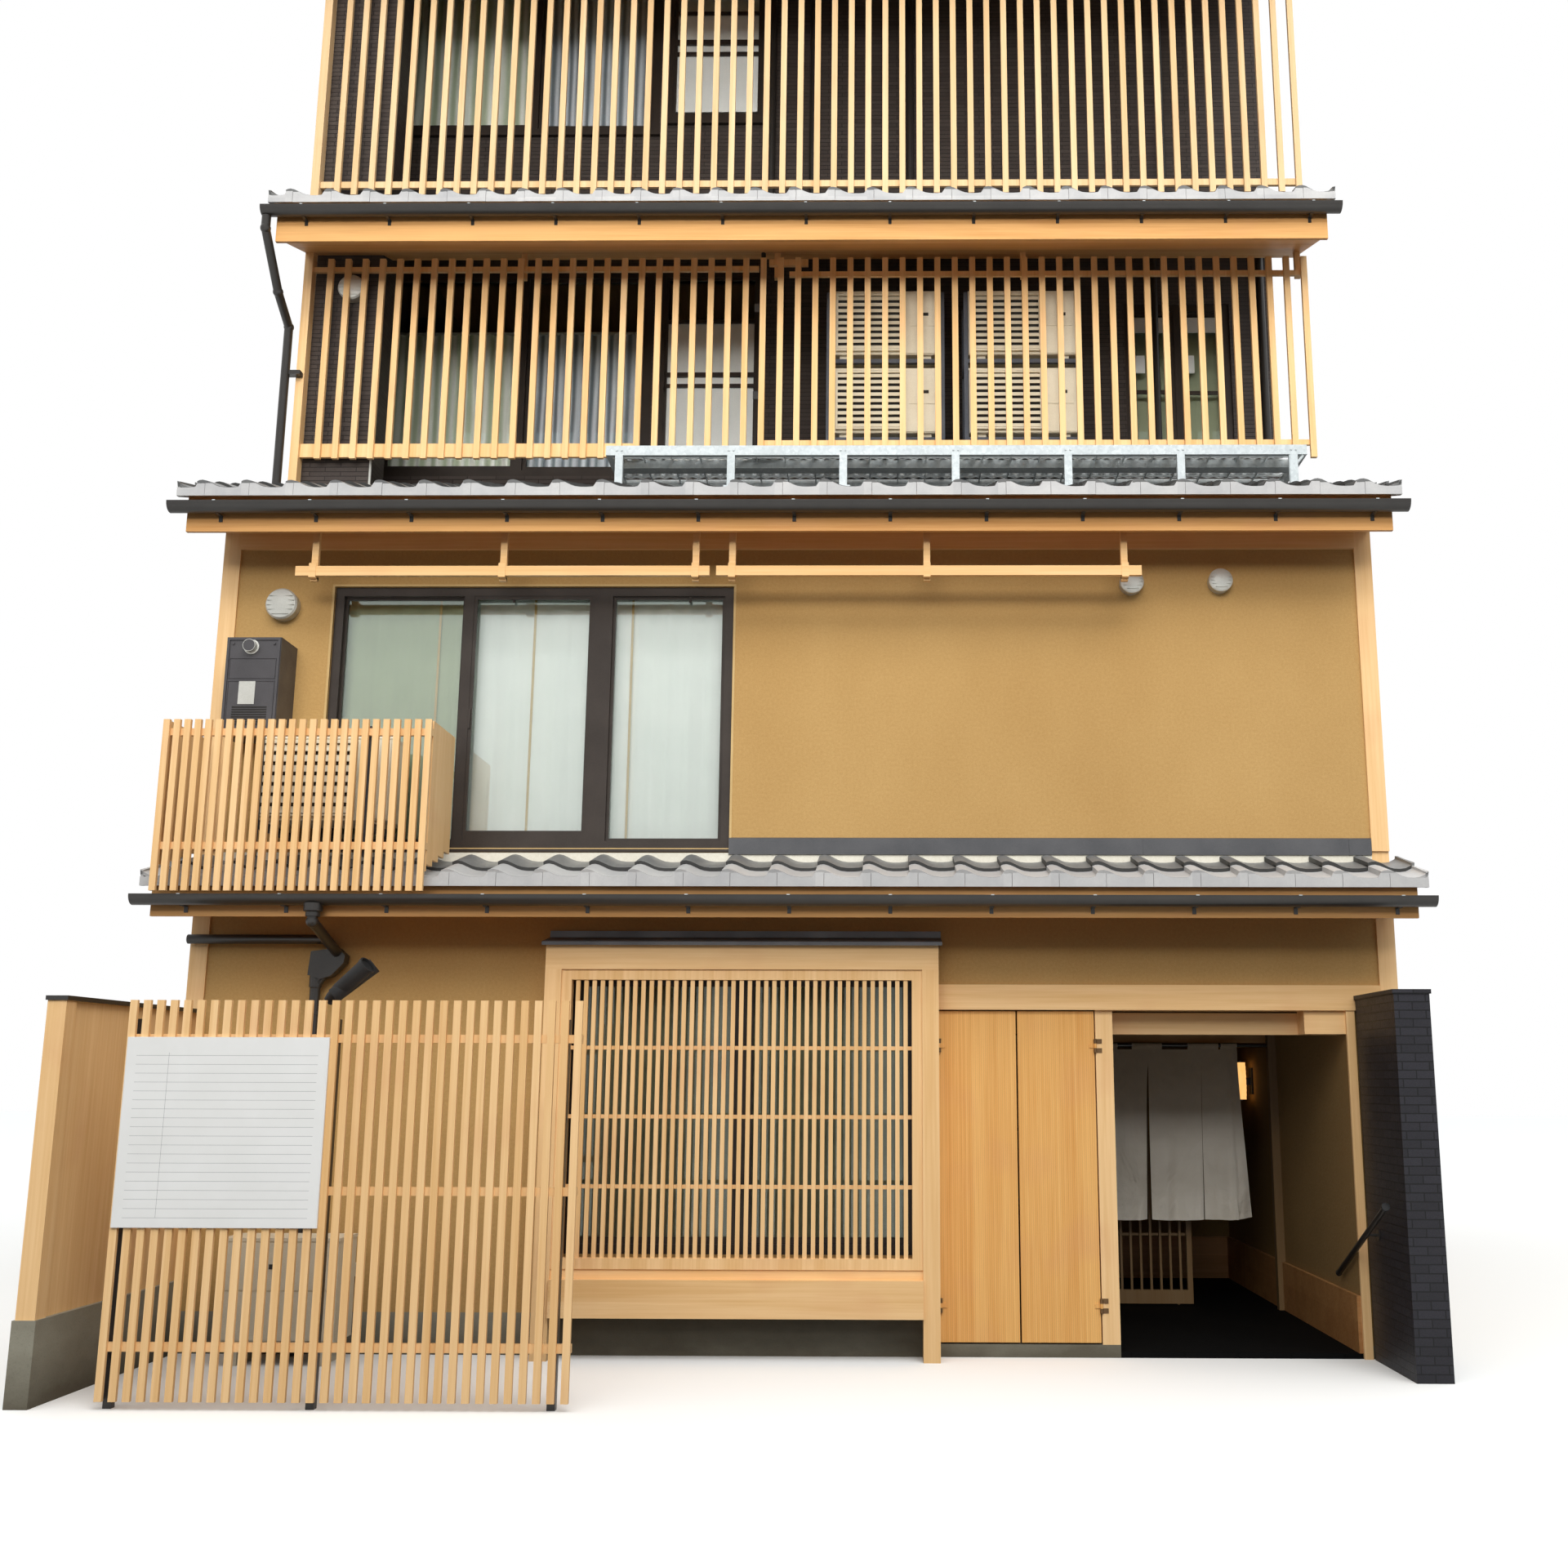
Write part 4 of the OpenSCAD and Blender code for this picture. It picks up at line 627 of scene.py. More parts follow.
def tiled_slope(shape, eave, run, seed, turned=unturned, first_look=0):
    """Rows of pantiles from the eave up to a vertical plane a given run behind it."""
    chance = random.Random(seed)
    length = run / math.cos(SLOPE) + 20
    rows = round((length - 10) / TILE_SHOWN)
    for row in range(rows):
        shape.look = 0 if row else first_look
        start = row * TILE_SHOWN
        end = length if row == rows - 1 else start + TILE_SHOWN + TILE_LAP
        for column in range(-1, TILE_COUNT):
            lift = chance.uniform(-1.5, 1.5)
            slip = chance.uniform(-3, 3) if row else 0
            if column < 0:
                x, width, wave = ROOF_LEFT, FIRST_TILE_X - ROOF_LEFT, LEFT_WAVE
            else:
                x, width = FIRST_TILE_X + column * TILE_PITCH, TILE_PITCH
                wave = VERGE_WAVE if column == TILE_COUNT - 1 else TILE_WAVE
            tile(shape, eave, x, width, wave, start + slip, end, lift, turned)
        for x in (ROOF_LEFT, ROOF_RIGHT - VERGE_W):
            rings = []
            for along, top in ((start, VERGE_TOP), (end, VERGE_TOP - TILE_T)):
                low, high = on_slope(eave, along, -SEAT), on_slope(eave, along, top)
                rings.append([turned(px, *point) for px, point in
                              ((x, low), (x + VERGE_W, low), (x + VERGE_W, high), (x, high))])
            shape.loft(rings)
    # The front plates take the lighter tile copy with painted light.
    shape.look = 1
    joints = [ROOF_LEFT] + [FIRST_TILE_X + (i + PLATE_JOINT) * TILE_PITCH
                            for i in range(TILE_COUNT)] + [ROOF_RIGHT]
    for number, (x0, x1) in enumerate(zip(joints, joints[1:])):
        front = eave[0] - PLATE_AHEAD + chance.uniform(-1.5, 1.5)
        front_plate(shape, eave, x0 + (1 if number else 0), x1 - 1, front, turned)
    shape.look = 0


def roof_deck(shape, eave, run, turned=unturned):
    """The boards under the tiles, flush with the underside of the roof."""
    near, far = eave, (eave[0] + run, eave[1] + run * RISE)
    outline = [near, far, (far[0], far[1] + DECK_T), (near[0], near[1] + DECK_T)]
    shape.loft([[turned(x, y, z) for y, z in outline] for x in (ROOF_LEFT + 8, ROOF_RIGHT - 8)])


PENT_EAVE = (-480, 2617.6)
MAIN_EAVE = (-470, 4958.6)
UPPER_EAVE = (430, 7438.3)
TOP_EAVE = (430, 10038.3)
RIDGE_Y = 4940


def make_roofs():
    decks = Shape()
    for name, node, eave, run, seed, first_look in (
            # The lower eave's first row also takes the lighter tile copy with painted light.
            ("pent_tiles", "pent_roof", PENT_EAVE, -PENT_EAVE[0], 11, 1),
            ("main_tiles", "main_roof", MAIN_EAVE, SETBACK - MAIN_EAVE[0], 12, 0),
            ("upper_tiles", "upper_roof", UPPER_EAVE, SETBACK - UPPER_EAVE[0], 13, 0)):
        shape = Shape()
        tiled_slope(shape, eave, run, seed, first_look=first_look)
        roof_deck(decks, eave, run)
        shape.done(name, "roof_tile", nodes=[node], angle=40, more=TILE_LOOKS)

    def rear(x, y, z):
        return (ROOF_LEFT + ROOF_RIGHT - x, 2 * RIDGE_Y - y, z)

    run = RIDGE_Y - TOP_EAVE[0]
    shape = Shape()
    for seed, turned in ((14, unturned), (15, rear)):
        tiled_slope(shape, TOP_EAVE, run - 20, seed, turned)
        roof_deck(decks, TOP_EAVE, run, turned)
    ridge(shape, TOP_EAVE[1] + run * RISE)
    shape.done("top_tiles", "roof_tile", nodes=["top_roof"], angle=40, more=TILE_LOOKS)
    decks.done("roof_boards", "eave_wood", "cypress")


def ridge(shape, underside):
    """Flat ridge tiles in four layers under a row of round ones, with a plate at each end."""
    layers, layer_h, flat_count, round_count = 4, 30, 24, 27
    length = ROOF_RIGHT - ROOF_LEFT
    shape.origin = (ROOF_LEFT, RIDGE_Y, underside + 36)
    step = length / flat_count
    for layer in range(layers):
        half, low, high = 128 - 9 * layer, layer_h * layer, layer_h * layer + 27
        outline = [(-half, low), (half, low), (half - 4, high), (4 - half, high)]
        for i in range(flat_count):
            shape.run_x(i * step, (i + 1) * step - 2, outline)
    top = layers * layer_h
    step = length / round_count
    arch = [math.pi * k / 12 for k in range(13)]
    for i in range(round_count):
        x0 = i * step
        shape.loft([[(x, r * math.cos(a), top + r * 1.05 * math.sin(a)) for a in arch]
                    for x, r in ((x0, 84), (x0 + 34, 84), (x0 + 36, 72), (x0 + step, 70))])
    side = [(190, -55), (165, 35), (110, 125), (60, 189)]
    plate = [(-190, -55)] + side + [(0, 207)] + [(-y, z) for y, z in side[:0:-1]]
    for x in (0, length - 30):
        shape.run_x(x, x + 30, plate)


def make_flashings():
    """The folded sheets over the lower eave and at the yard's wall, and the plaster that
    fills the tiles' hollows."""
    foot = PENT_EAVE[1] - PENT_EAVE[0] * RISE + 66
    sheet = Shape((0, 0, foot))
    sheet.run_x(-378, 3465, [(-18, 0), (-15, 0), (-15, 92), (0, 100), (0, 105), (-18, 97)])
    for x in (860, 2100, 3330):
        sheet.run_x(x, x + 3, [(-20, 1), (-17, 1), (-17, 98), (-20, 96)])
    sheet.origin = (0, 0, 2313)
    sheet.run_x(-1428, 890, [(-236, -16), (-232, -16), (-232, 0), (-8, 44), (-8, 82), (0, 82),
                             (0, 86), (-12, 86), (-12, 48), (-236, 4)])
    sheet.done("eave_flashing", "flashing", "dark_metal")
    fill = Shape()
    fill.box((-3465, -9, foot - 95), (3465, 4, foot + 10))
    for eave in (MAIN_EAVE, UPPER_EAVE):
        level = eave[1] + (SETBACK - eave[0]) * RISE + 84
        fill.box((-3560, SETBACK - 9, level - 90), (3560, SETBACK + 4, level + 12))
    fill.done("hollow_plaster", "white_plaster", "plaster")


# A window's wall, left edge, sill, width and height, and its mullions' places and widths.
FRAME_W = 55
WINDOWS = {
    "second": (0, -2863, 2890, 2485, 1650, [(837, 60), (1669, 124)]),
    "third_left": (SETBACK, -3370, 6080, 2110, 1720, [(1095, 60)]),
    "third_door": (SETBACK, -1220, 6080, 830, 1720, []),
    "third_right": (SETBACK, 2420, 6180, 820, 1320, [(410, 48)]),
    "fourth_left": (SETBACK, -3370, 9000, 2110, 1400, [(1095, 60)]),
    "fourth_right": (SETBACK, -1220, 9100, 830, 1300, []),
    "bay": (0, -1293, 550, 2048, 1610, [(1024, 48)]),
}
# A sash's side width, its foot's height and its depth in the wall, from left to right.
SASHES = {"second": ((16, 14, 52), (20, 62, 24), (18, 18, 40)), "third_door": ((22, 70, 26),)}
PLAIN_SASHES = ((30, 38, 28), (30, 38, 44))
DOOR_LEFT, DOOR_RIGHT = -1144, -466
# Frosted panes: their left and right edge, and each one's foot and head.
FROSTED = (
    (DOOR_LEFT, DOOR_RIGHT, (6200, 6820), (6850, 6908), (6946, 7362), (9215, 9715),
     (9748, 9812), (9860, 10092)),
    (2480, 2800, (7280, 7405)), (2865, 3180, (7280, 7405)),
    (2490, 2580, (6940, 7087)), (2875, 2965, (6940, 7087)))


def panes_of(name):
    """The clear panes of a window, each from (x, z) to (x, z)."""
    _, x, z, width, height, mullions = WINDOWS[name]
    lefts = [x + FRAME_W] + [x + m + w / 2 for m, w in mullions]
    rights = [x + m - w / 2 for m, w in mullions] + [x + width - FRAME_W]
    return [((left, z + FRAME_W), (right, z + height - FRAME_W)) for left, right in zip(lefts, rights)]


def make_sashes():
    sashes = Shape()
    for name, (wall, *_) in WINDOWS.items():
        sashes.origin = (0, wall, 0)
        for (low, high), (width, foot, y) in zip(panes_of(name), SASHES.get(name, PLAIN_SASHES)):
            sashes.frame(low, high, width, y, y + 16, foot)
            if name == "third_right":
                sashes.box((low[0] + 28, y, 6760), (high[0] - 28, y + 14, 6790))
    catch = panes_of("second")[1][0][0] + 2
    sashes.origin = (0, 0, 0)
    sashes.box((catch, 12, 3640), (catch + 12, 24, 3760))
    for x in (-1760, -660):
        sashes.box((x, 30, 4447), (x + 14, 44, 4490))
    sashes.run_x(-2863, -378, [(-14, 2874), (60, 2882), (60, 2890), (-14, 2890)])
    (left, _), (right, _) = panes_of("third_door")[0]
    sashes.origin = (0, SETBACK, 0)
    for z0, z1 in ((6822, 6848), (6910, 6944), (7360, 7386)):
        sashes.box((left + 20, 24, z0), (right - 20, 42, z1))
    sashes.tube([(left + 12, y, z) for y, z in ((20, 6780), (-6, 6780), (-6, 6930), (20, 6930))], 7, 8)
    for z0, z1 in ((9717, 9746), (9814, 9858), (10090, 10116)):
        sashes.box((DOOR_LEFT - 3, 26, z0), (DOOR_RIGHT + 3, 42, z1))
    for x0, x1, z in ((-3380, -1250, 8985), (-1230, -380, 9085)):
        sashes.run_x(x0, x1, [(-34, z - 20), (20, z - 20), (20, z + 15), (-34, z - 2)])
    sashes.done("window_sashes", "window_frame", angle=30)
    panes = Shape((0, SETBACK, 0))
    for x0, x1, *levels in FROSTED:
        for z0, z1 in levels:
            panes.box((x0, 46, z0), (x1, 52, z1))
    panes.done("frosted_panes", "film", "glass")
    seal = Shape()
    seal.frame((-2877, 2884), (-364, 4554), 14, -4, 6)
    seal.done("window_seal", "sealant", "plaster", angle=30)


# A window's count of folds, their depth, and the looks of its curtains from left to right.
CURTAINS = {
    "second": (5, 9, ("shaded_lace", "film", "film")),
    "third_left": (9, 22, ("lace", "grey_lace")),
    "third_door": (2, 2, ("film",)),
    "third_right": (3, 4, ("shaded_lace", "shaded_lace")),
    "fourth_left": (8, 20, ("lace", "grey_lace")),
    "fourth_right": (3, 6, ("film",)),
    "bay": (3, 5, ("shade_cloth", "shade_cloth")),
}
BACK_ROWS = ((970, 1100), (3650, 1100), (6900, 1100), (9000, 900))
BACK_LEFTS = (-2863, 1213)
BACK_WINDOW_W = 1650


def curtain(rails, name, low, high, folds, depth, look, y, seed):
    """A curtain with upright folds from (x, z) to (x, z), under a rail of its own."""
    (x0, z0), (x1, z1) = low, high
    rails.box((x0 - 2, y - 12, z1 - 4), (x1 + 2, y + 12, z1 + 14))
    chance = random.Random(seed)
    phases = [chance.uniform(0, math.tau) for _ in range(3)]
    rows, columns = 14, 12 * folds
    points = []
    for r in range(rows + 1):
        v = r / rows
        for c in range(columns + 1):
            u = c / columns
            swing = math.sin(math.tau * folds * u + phases[0] + 0.6 * math.sin(4 * u + phases[1]))
            small = math.sin(math.tau * folds * 2.3 * u + phases[2])
            bulge = depth * (0.55 + 0.45 * v) * (swing + 0.25 * small)
            points.append((x0 + (x1 - x0) * u, y + bulge, z1 + (z0 - z1) * v))
    sheet = Shape()
    sheet.net(points, columns)
    piece = sheet.done(name, look, "linen", angle=180, flip=False)


def make_curtains():
    rails = Shape()
    for name, (folds, depth, colours) in CURTAINS.items():
        y = WINDOWS[name][0] + 145
        for number, ((x0, z0), (x1, z1)) in enumerate(panes_of(name)):
            heads = {"third_left": z0 + 0.74 * (z1 - z0), "third_door": 7350}
            curtain(rails, "%s_curtain_%d" % (name, number + 1), (x0 - 20, z0 - 20),
                    (x1 + 20, heads.get(name, z1 + 30)), folds, depth, colours[number], y, number + 7)
    number = 0
    for z, height in BACK_ROWS:
        for x in BACK_LEFTS:
            number += 1
            curtain(rails, "back_curtain_%d" % number, (x + 40, z + 40),
                    (x + BACK_WINDOW_W - 40, z + height - 40), 7, 16, "lace", BACK_Y - 190, 30 + number)
    rails.done("curtain_rails", "vent_metal")
    edges = Shape()
    for x in (-2233, -1636, -1023):
        edges.box((x - 7, 128, 2960), (x + 7, 132, 4530))
    edges.done("curtain_edges", "sealant", "linen")


# Each strip's left and right edge at its head and at its foot, then the tabs' edges.
NOREN_STRIPS = (((1996, 2378), (2004, 2341)), ((2378, 2746), (2371, 2721)),
                ((2746, 2993), (2729, 3056)))
NOREN_TABS = ((2036, 2169), (2268, 2475), (2653, 2864), (2879, 2992))
NOREN_SEWN = 0.095
NOREN_TOP, NOREN_FOOT = 1748, 613
ROD_Y, ROD_Z, TAB_R = 1680, 1775, 14.5


def noren_point(strip, u, v):
    """A point of a strip at shares u across and v down of it."""
    (head0, head1), (foot0, foot1) = NOREN_STRIPS[strip]
    last = strip == 2
    free = max(0.0, (v - NOREN_SEWN) / (1 - NOREN_SEWN))
    left = head0 + (foot0 - head0) * free ** 0.55
    right = head1 + (foot1 - head1) * free ** (1.25 if last else 0.55)
    x = left + (right - left) * u
    folds = 15 * math.sin(x / 41.0 + 1.4 * strip) + 7 * math.sin(x / 17.0 + 2.0 * v + strip)
    crease = 14 * math.sin(9.0 * (u + 0.35 * v) + strip) * v * v
    pleat = -26 * math.exp(-((x - 2931 - 14 * v) / 9.0) ** 2) * min(1.0, 1.6 * v)
    swing = (0.12 + 0.88 * v) * folds + crease + pleat
    sag = 16 * math.sin(math.pi * u) - 22 * u if last else 14 * math.sin(math.pi * u)
    z = NOREN_TOP + (NOREN_FOOT - NOREN_TOP) * v - sag * v * v * 0.6
    return (x, ROD_Y + swing * free ** 0.3, z)


def make_noren():
    """Three cloth panels, sewn together at the head, that hang from a rod by tabs."""
    sheet = Shape()
    columns, rows, tab_steps = 24, 40, 12
    for strip in range(3):
        sheet.net([noren_point(strip, c / columns, r / rows)
                   for r in range(rows + 1) for c in range(columns + 1)], columns)
    round_rod = [math.radians(-75 + 330 * k / tab_steps) for k in range(tab_steps + 1)]
    loop = [(ROD_Y - TAB_R * math.cos(a), ROD_Z + TAB_R * math.sin(a)) for a in round_rod]
    loop = [(ROD_Y - 1, NOREN_TOP)] + loop + [(ROD_Y + 1, NOREN_TOP)]
    for edges in NOREN_TABS:
        sheet.net([(x, y, z) for x in edges for y, z in loop], len(loop) - 1)
    piece = sheet.done("noren_cloth", "linen", nodes=["noren"], angle=180, flip=False)


UP, TO_STREET = (0, 0, 1), (0, -1, 0)
LAMP_PLACE = (3173, 2400, 1402)


def make_lamp():
    """A paper shade with thin rings on a wall bracket."""
    height, rings, wall_x = 268, 24, 82
    profile = [(36 + 4 * math.sin(math.pi * i / rings) + (0 if i % 3 else 1.2), height * i / rings)
               for i in range(rings + 1)]
    middle = (0, 0, 0)
    shade, fitting = Shape(LAMP_PLACE), Shape(LAMP_PLACE)
    shade.lathe(middle, UP, [(2, 0)] + profile + [(2, height)], 24)
    shade.done("lamp_shade", "lamp_paper", nodes=["wall_lamp"], angle=60)
    for low, high in ((-10, 1), (height - 1, height + 12)):
        fitting.lathe(middle, UP, [(30, low), (41, low), (41, high), (30, high)], 24)
    fitting.box((20, -16, 103), (wall_x, 16, 158))
    fitting.box((wall_x - 12, -45, 38), (wall_x, 45, 228))
    fitting.done("lamp_bracket", "dark_metal")


def grille(shape, backing, low, high, pitch, blade):
    """Level louvre blades before a dark backing of painted shade, facing the street."""
    (x0, z0), (x1, z1) = low, high
    backing.box((x0 - 4, -3, z0 - 4), (x1 + 4, -1, z1 + 4))
    shape.frame((x0 - 8, z0 - 8), (x1 + 8, z1 + 8), 12, -22, -1)
    count = round((z1 - z0) / pitch)
    for i in range(count):
        z = z0 + (i + 0.5) * (z1 - z0) / count
        shape.run_x(x0, x1, [(-20, z - blade), (-17, z - blade - 2), (-4, z + blade - 2), (-6, z + blade)])


UNIT_XS = (170, 1160)
UNIT_ZS = (6030, 6630)
UNIT_W = 780
UNIT_FRONT = 1151
BOX_UNIT_PLACE = (-3112, -331, 2990)
YARD_UNIT_PLACE = (-3084, -401, 130)
HEATER_PLACE = (-3398, -250, 3540)


def make_units():
    """Louvres, covers, lids and handles, measured from each outdoor unit's lower left."""
    cases, dark = Shape(), Shape()
    for x in UNIT_XS:
        for z in UNIT_ZS:
            cases.origin = dark.origin = (x, UNIT_FRONT, z)
            grille(cases, dark, (44, 62), (510, 490), 47, 15)
            cases.frame((3, 33), (UNIT_W - 3, 517), 6, -5, 0)
            cases.box((536, -9, 40), (770, 0, 508))
            cases.box((560, -13, 250), (745, -8, 262))
            cases.box((-4, -6, 508), (UNIT_W + 4, 296, 524))
            dark.box((640, -14, 330), (700, -8, 352))
    cases.origin = dark.origin = BOX_UNIT_PLACE
    grille(cases, dark, (22, 50), (567, 480), 66, 20)
    cases.box((0, -5, 506), (784, 293, 520))
    cases.box((592, -6, 30), (772, 1, 500))
    cases.origin = dark.origin = YARD_UNIT_PLACE
    cases.box((0, -5, 525), (658, 283, 542))
    for x0, x1 in ((12, 478), (486, 646)):
        for z0, z1 in ((6, 260), (268, 518)):
            cases.box((x0, -6, z0), (x1, 1, z1))
    for x in (222, 276):
        dark.box((x, -8, 378), (x + 34, -5, 404))
    cases.done("unit_louvres", "unit_case", angle=30)
    # The backings behind the louvres are painted shade; the small dark boxes are handles.
    dark.done("unit_openings", "unit_dark", "dark_metal")


def make_heater():
    """Panel seams, air slots drawn as dark strips of painted shade, the flue's hood and a
    bare plate on the water heater.
    """
    width = 328
    case, pale, dark = Shape(HEATER_PLACE), Shape(HEATER_PLACE), Shape(HEATER_PLACE)
    case.frame((4, 4), (width - 4, 596), 14, -7, 1)
    for low, high in ((26, 330), (344, 470)):
        case.frame((24, low), (width - 24, high), 3, -4, 1)
    pale.lathe((150, 0, 540), TO_STREET,
               [(46, 0), (46, 6), (38, 8), (38, 44), (31, 44), (31, 10), (2, 10)], 32)
    pale.box((92, -3, 186), (190, 0, 330))
    # Painted shade: dark strips stand for the shade inside the air slots.
    for i in range(8):
        dark.box((60, -3, 60 + 15 * i), (268, 0, 67 + 15 * i))
    for x in (40, width - 40):
        for z in (40, 560):
            case.lathe((x, 0, z), TO_STREET, [(7, 0), (7, 9), (4, 10)], 12)
    case.done("heater_trim", "heater_case", angle=30)
    pale.done("heater_flue_plate", "vent_metal", angle=30)
    dark.done("heater_slots", "unit_dark", "dark_metal")


DECK_X0, DECK_X1 = -1329, 3415
DECK_Y0, DECK_Y1 = 874, 1440
DECK_Z = 5822
POSTS = 7
FIRST_POST_X = -1303
POST_PITCH = 4639 / 6


def make_deck():
    """Expanded-metal mesh, the second channel, a brace and the feet of the roof platform."""
    pitch_x, pitch_y, strand, top = 82, 38, 1.8, DECK_Z + 5
    mesh = Shape()
    for c in range(int((DECK_X1 - DECK_X0) / pitch_x)):
        for r in range(int((DECK_Y1 - DECK_Y0) / pitch_y)):
            cx, cy = DECK_X0 + (c + 0.5) * pitch_x, DECK_Y0 + (r + 0.5) * pitch_y
            for sx, sy in ((-1, -1), (-1, 1), (1, -1), (1, 1)):
                w = sx * strand
                mesh.loft([[(x - w, y - strand, DECK_Z), (x + w, y + strand, DECK_Z),
                            (x + w, y + strand, top), (x - w, y - strand, top)] for x, y in
                           ((cx + sx * pitch_x / 2, cy), (cx, cy + sy * pitch_y / 2))])
    mesh.done("deck_mesh", "galvanised")
    steel = Shape()
    steel.box((DECK_X0, 1160, DECK_Z - 46), (DECK_X1, 1164, DECK_Z - 4))
    steel.box((3330, 836, 5500), (3352, 858, 5762))
    steel.tube([(3430, 846, 5758), (3345, 846, 5650)], 9, 8)
    foot = MAIN_EAVE[1] + (850 - MAIN_EAVE[0]) * RISE + 88
    for i in range(POSTS):
        steel.origin = (FIRST_POST_X + i * POST_PITCH, 0, 0)
        steel.box((-22, 812, foot - 6), (75, 888, foot + 8))
        for bolt in (10, 43):
            steel.lathe((bolt, 829, 5795), TO_STREET, [(8, -2), (8, 5), (4, 6)], 6)
    steel.done("deck_steel", "galvanised", angle=30)


PIPE_X, PIPE_Y = -2790, -60
GUTTER_AHEAD = 36
CLIPS = 13
FIRST_CLIP_X, CLIP_PITCH = 3450, 572


def make_gutter_fittings():
    """Clips on the gutters' lips, a gutter's outlet, the rain hopper and the pipe's bands."""
    clips, dark = Shape(), Shape()
    for eave in (PENT_EAVE, MAIN_EAVE, UPPER_EAVE, TOP_EAVE):
        for i in range(CLIPS):
            clips.origin = (FIRST_CLIP_X - i * CLIP_PITCH, eave[0] - GUTTER_AHEAD, eave[1] - 65.3)
            clips.box((-9, -56, -3), (9, -50, 2))
            clips.box((-6, -50, -1), (6, 60, 2))
    clips.done("gutter_clips", "galvanised")
    dark.lathe((-2665, PENT_EAVE[0] - GUTTER_AHEAD, 2500), UP,
               [(40, -70), (40, -46), (52, -40), (52, 4), (34, 6)], 24)
    dark.run_y(-104, -22, [(-2815, 2268), (-2660, 2288), (-2612, 2246), (-2618, 2200),
                           (-2690, 2124), (-2752, 2106), (-2826, 2130)])
    dark.tube([(PIPE_X, PIPE_Y, 2160), (PIPE_X, PIPE_Y, 2060)], 36, 20)
    for z in (700, 1390, 1900):
        dark.lathe((PIPE_X, PIPE_Y, z), UP, [(30, 0), (35, 1), (35, 18), (30, 19)], 20)
    dark.done("rain_hopper", "dark_metal")


# The middle of each vent's cap, and its width.
VENTS = (((-3167, -60, 4410), 192), ((2078, -60, 4550), 142), ((2624, -60, 4560), 142),
         ((-3288, 1020, 7130), 185))


def make_vent_hoods():
    hoods = Shape()
    for place, width in VENTS:
        hoods.origin = place
        r = width / 2
        hoods.lathe((0, 0, 0), TO_STREET,
                    [(r + 3, -4), (r + 3, 2), (r - 6, 14), (r * 0.5, 24), (3, 27)], 32)
        for k in range(5):
            z = k * r * 0.3 - r * 0.72
            half = math.sqrt(max(r * r * 0.8 - z * z, 400))
            hoods.run_x(-half, half, [(-24, z), (-20, z), (-6, z + 9), (-10, z + 9)])
    hoods.done("vent_hoods", "vent_metal")


def make_fittings():
    """Blind hangers' pegs, the ends of the handrail and of the spotlight, the vents' hoods
    and the bead at the shaft's corner."""
    pegs = Shape()
    for x in (-2884, -1742, -581, -361, 810, 1995):
        pegs.box((x - 21, -339, 4490), (x + 21, -334, 4578))
        pegs.box((x - 20, -336, 4488), (x + 20, -276, 4500))
    pegs.done("rail_hangers", "cypress_across", "cypress")
    metal = Shape()
    metal.lathe((-2177, -1258, 2016), (0.76, -0.25, 0.64),
                [(26, -150), (34, -120), (43, -60), (43, 120), (47, 122), (47, 140), (40, 142),
                 (38, 128), (2, 126)], 28)
    metal.lathe((3225, -640, 875), (0, -1, 0.5), [(17, -8), (22, -6), (22, 8), (17, 10)], 20)
    metal.lathe((3225, 300, 430), (0, 1, -0.5), [(17, -8), (19, -2), (17, 8), (4, 12)], 20)
    metal.done("rail_and_spot_caps", "black_metal", "dark_metal")
    make_vent_hoods()
    strip = Shape()
    strip.tube([(-3078, 1068, z) for z in (5640, 6500, 7300)], 9, 10)
    strip.done("shaft_bead", "vent_metal")


def make_board():
    """A plain rim round the notice board."""
    x, z, y, width, height, rim_w = -3135, 835, -1552, 980, 890, 5
    rim = Shape()
    rim.frame((x - rim_w, z - rim_w), (x + width + rim_w, z + height + rim_w), rim_w, y, y + 11)
    rim.done("board_rim", "board")


def dress_nodes():
    for look, nodes in NODE_LOOKS.items():
        for node in nodes.split():
            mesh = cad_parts[node].data
            mesh.materials.clear()
            mesh.materials.append(looks[look])


# The photo's width and the lens, in the photo's pixels, and the camera's place in metres.
PHOTO_W = 1920
FOCAL = 1880.95
LENS_SHIFT = -104.06
SENSOR_MM = 36.0
CAMERA_PLACE = (0.5625, -13.6226, 1.5287)
HEADING, PITCH, ROLL = 0.6276, 100.936, 0.1599


def make_camera():
    """The photograph's viewpoint, low in the street and a little right of the middle."""
    data = bpy.data.cameras.new("camera")
    data.sensor_width = SENSOR_MM
    data.lens = SENSOR_MM * FOCAL / PHOTO_W
    data.shift_x = LENS_SHIFT / PHOTO_W
    camera = placed("camera", data)
    camera.location = CAMERA_PLACE
    heading, pitch, roll = (Matrix.Rotation(math.radians(a), 3, axis) for a, axis in
                            ((HEADING, "Z"), (PITCH, "X"), (ROLL, "Z")))
    camera.rotation_euler = (heading @ pitch @ roll).to_euler()
    bpy.context.scene.camera = camera


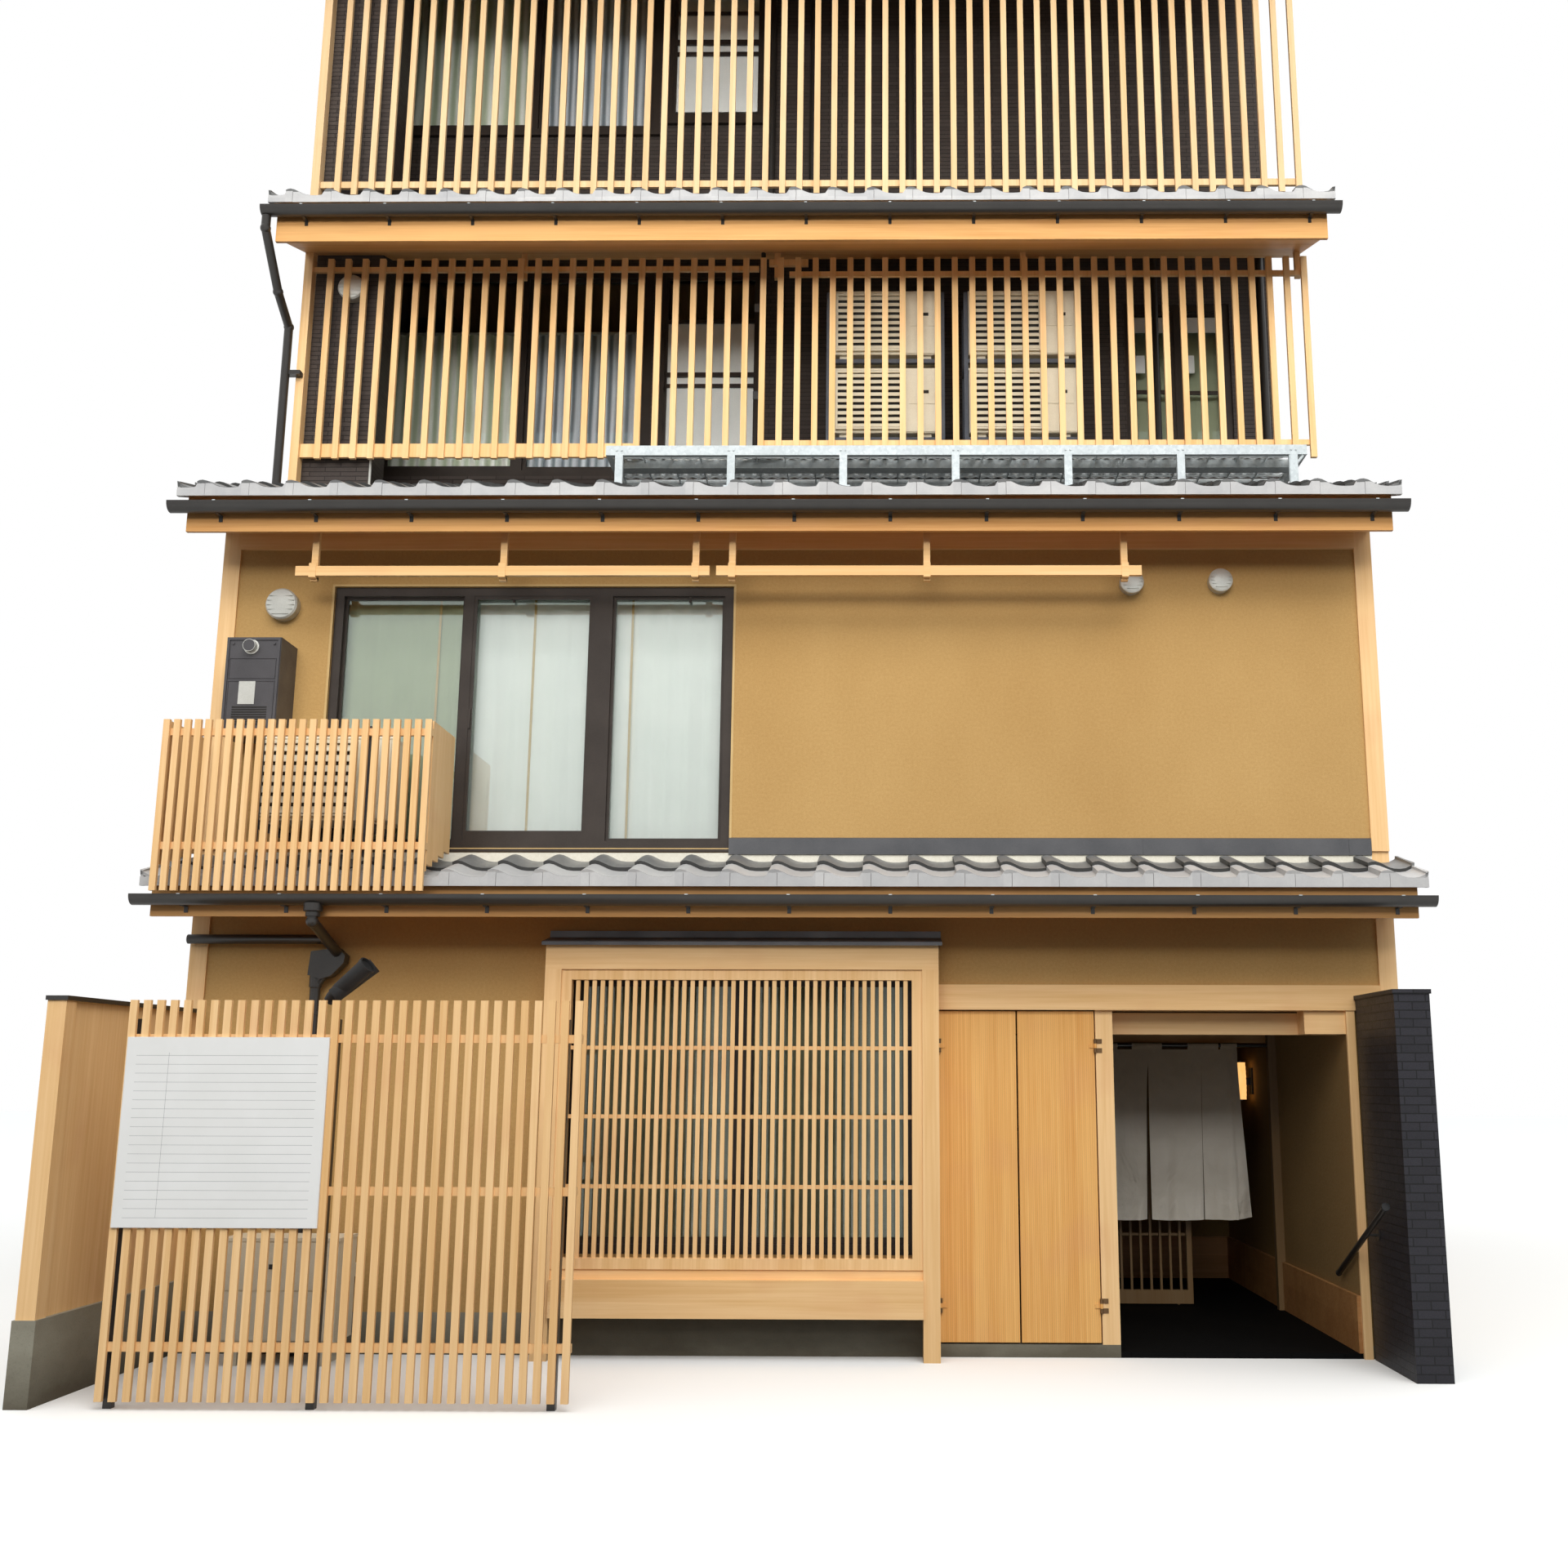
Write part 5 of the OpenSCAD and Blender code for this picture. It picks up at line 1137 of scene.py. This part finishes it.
def make_stage():
    """A wide pale floor. It looks pale, but sends only a street's share of light back up."""
    half = 60
    mesh = bpy.data.meshes.new("stage_floor")
    mesh.from_pydata([(-half, -half, 0), (half, -half, 0), (half, half, 0), (-half, half, 0)],
                     [], [(0, 1, 2, 3)])
    floor = placed("stage_floor", mesh)
    tree = Surface("stage_floor", 0.9)
    tree.finish(tree.mix(tree.seen(), (66, 64, 61), (240, 240, 238)))
    mesh.materials.append(tree.material)


def make_sky():
    """An overcast sky, brighter overhead, that is seen as plain white."""
    world = bpy.data.worlds.new("sky")
    bpy.context.scene.world = world
    world.use_nodes = True
    sky = Tree(world.node_tree)
    sky.nodes.clear()
    way = sky.split(sky.add("TexCoord").outputs["Generated"])
    strength = sky.spread(way["Z"], 0.0, 0.9, 0.06, 1.6)
    light = sky.add("Background", Color=(0.96, 0.98, 1.0, 1), Strength=strength)
    white = sky.add("Background", Color=(1, 1, 1, 1))
    both = sky.add("MixShader", Fac=sky.seen())
    sky.set(both.inputs[1], light.outputs[0])
    sky.set(both.inputs[2], white.outputs[0])
    sky.add("OutputWorld", Surface=both.outputs[0])


# Each lamp's name, its sizes in metres, power, place, aim, and the angle it spreads over.
LAMPS = (
    ("key", (14.0, 12.0), 2200.0, (7.0, -20.0, 20.0), (0.0, -4.0, 4.0), 180),
    ("street", (18.0, 6.0), 1100.0, (-1.0, -20.0, 14.0), (0.0, -4.0, 6.5), 180),
    ("upper", (16.0, 4.0), 290.0, (-1.0, -20.0, 8.5), (0.0, -4.0, 8.2), 60))


def make_lamps():
    """Three large soft lamps in front, which no glass mirrors."""
    for name, size, power, place, aim, spread in LAMPS:
        lamp = bpy.data.lights.new(name, "AREA")
        lamp.shape = "ELLIPSE"
        lamp.size, lamp.size_y = size
        lamp.energy = power
        lamp.color = (1.0, 0.99, 0.97)
        lamp.spread = math.radians(spread)
        light = placed(name, lamp)
        light.location = place
        light.visible_glossy = False
        light.rotation_euler = (Vector(aim) - Vector(place)).to_track_quat("-Z", "Y").to_euler()


make_camera()
make_sky()
make_lamps()
make_stage()
dress_nodes()
make_roofs()
make_flashings()
make_sashes()
make_curtains()
make_noren()
make_lamp()
make_units()
make_heater()
make_deck()
make_gutter_fittings()
make_fittings()
make_board()

bpy.context.scene.view_settings.view_transform = "Standard"
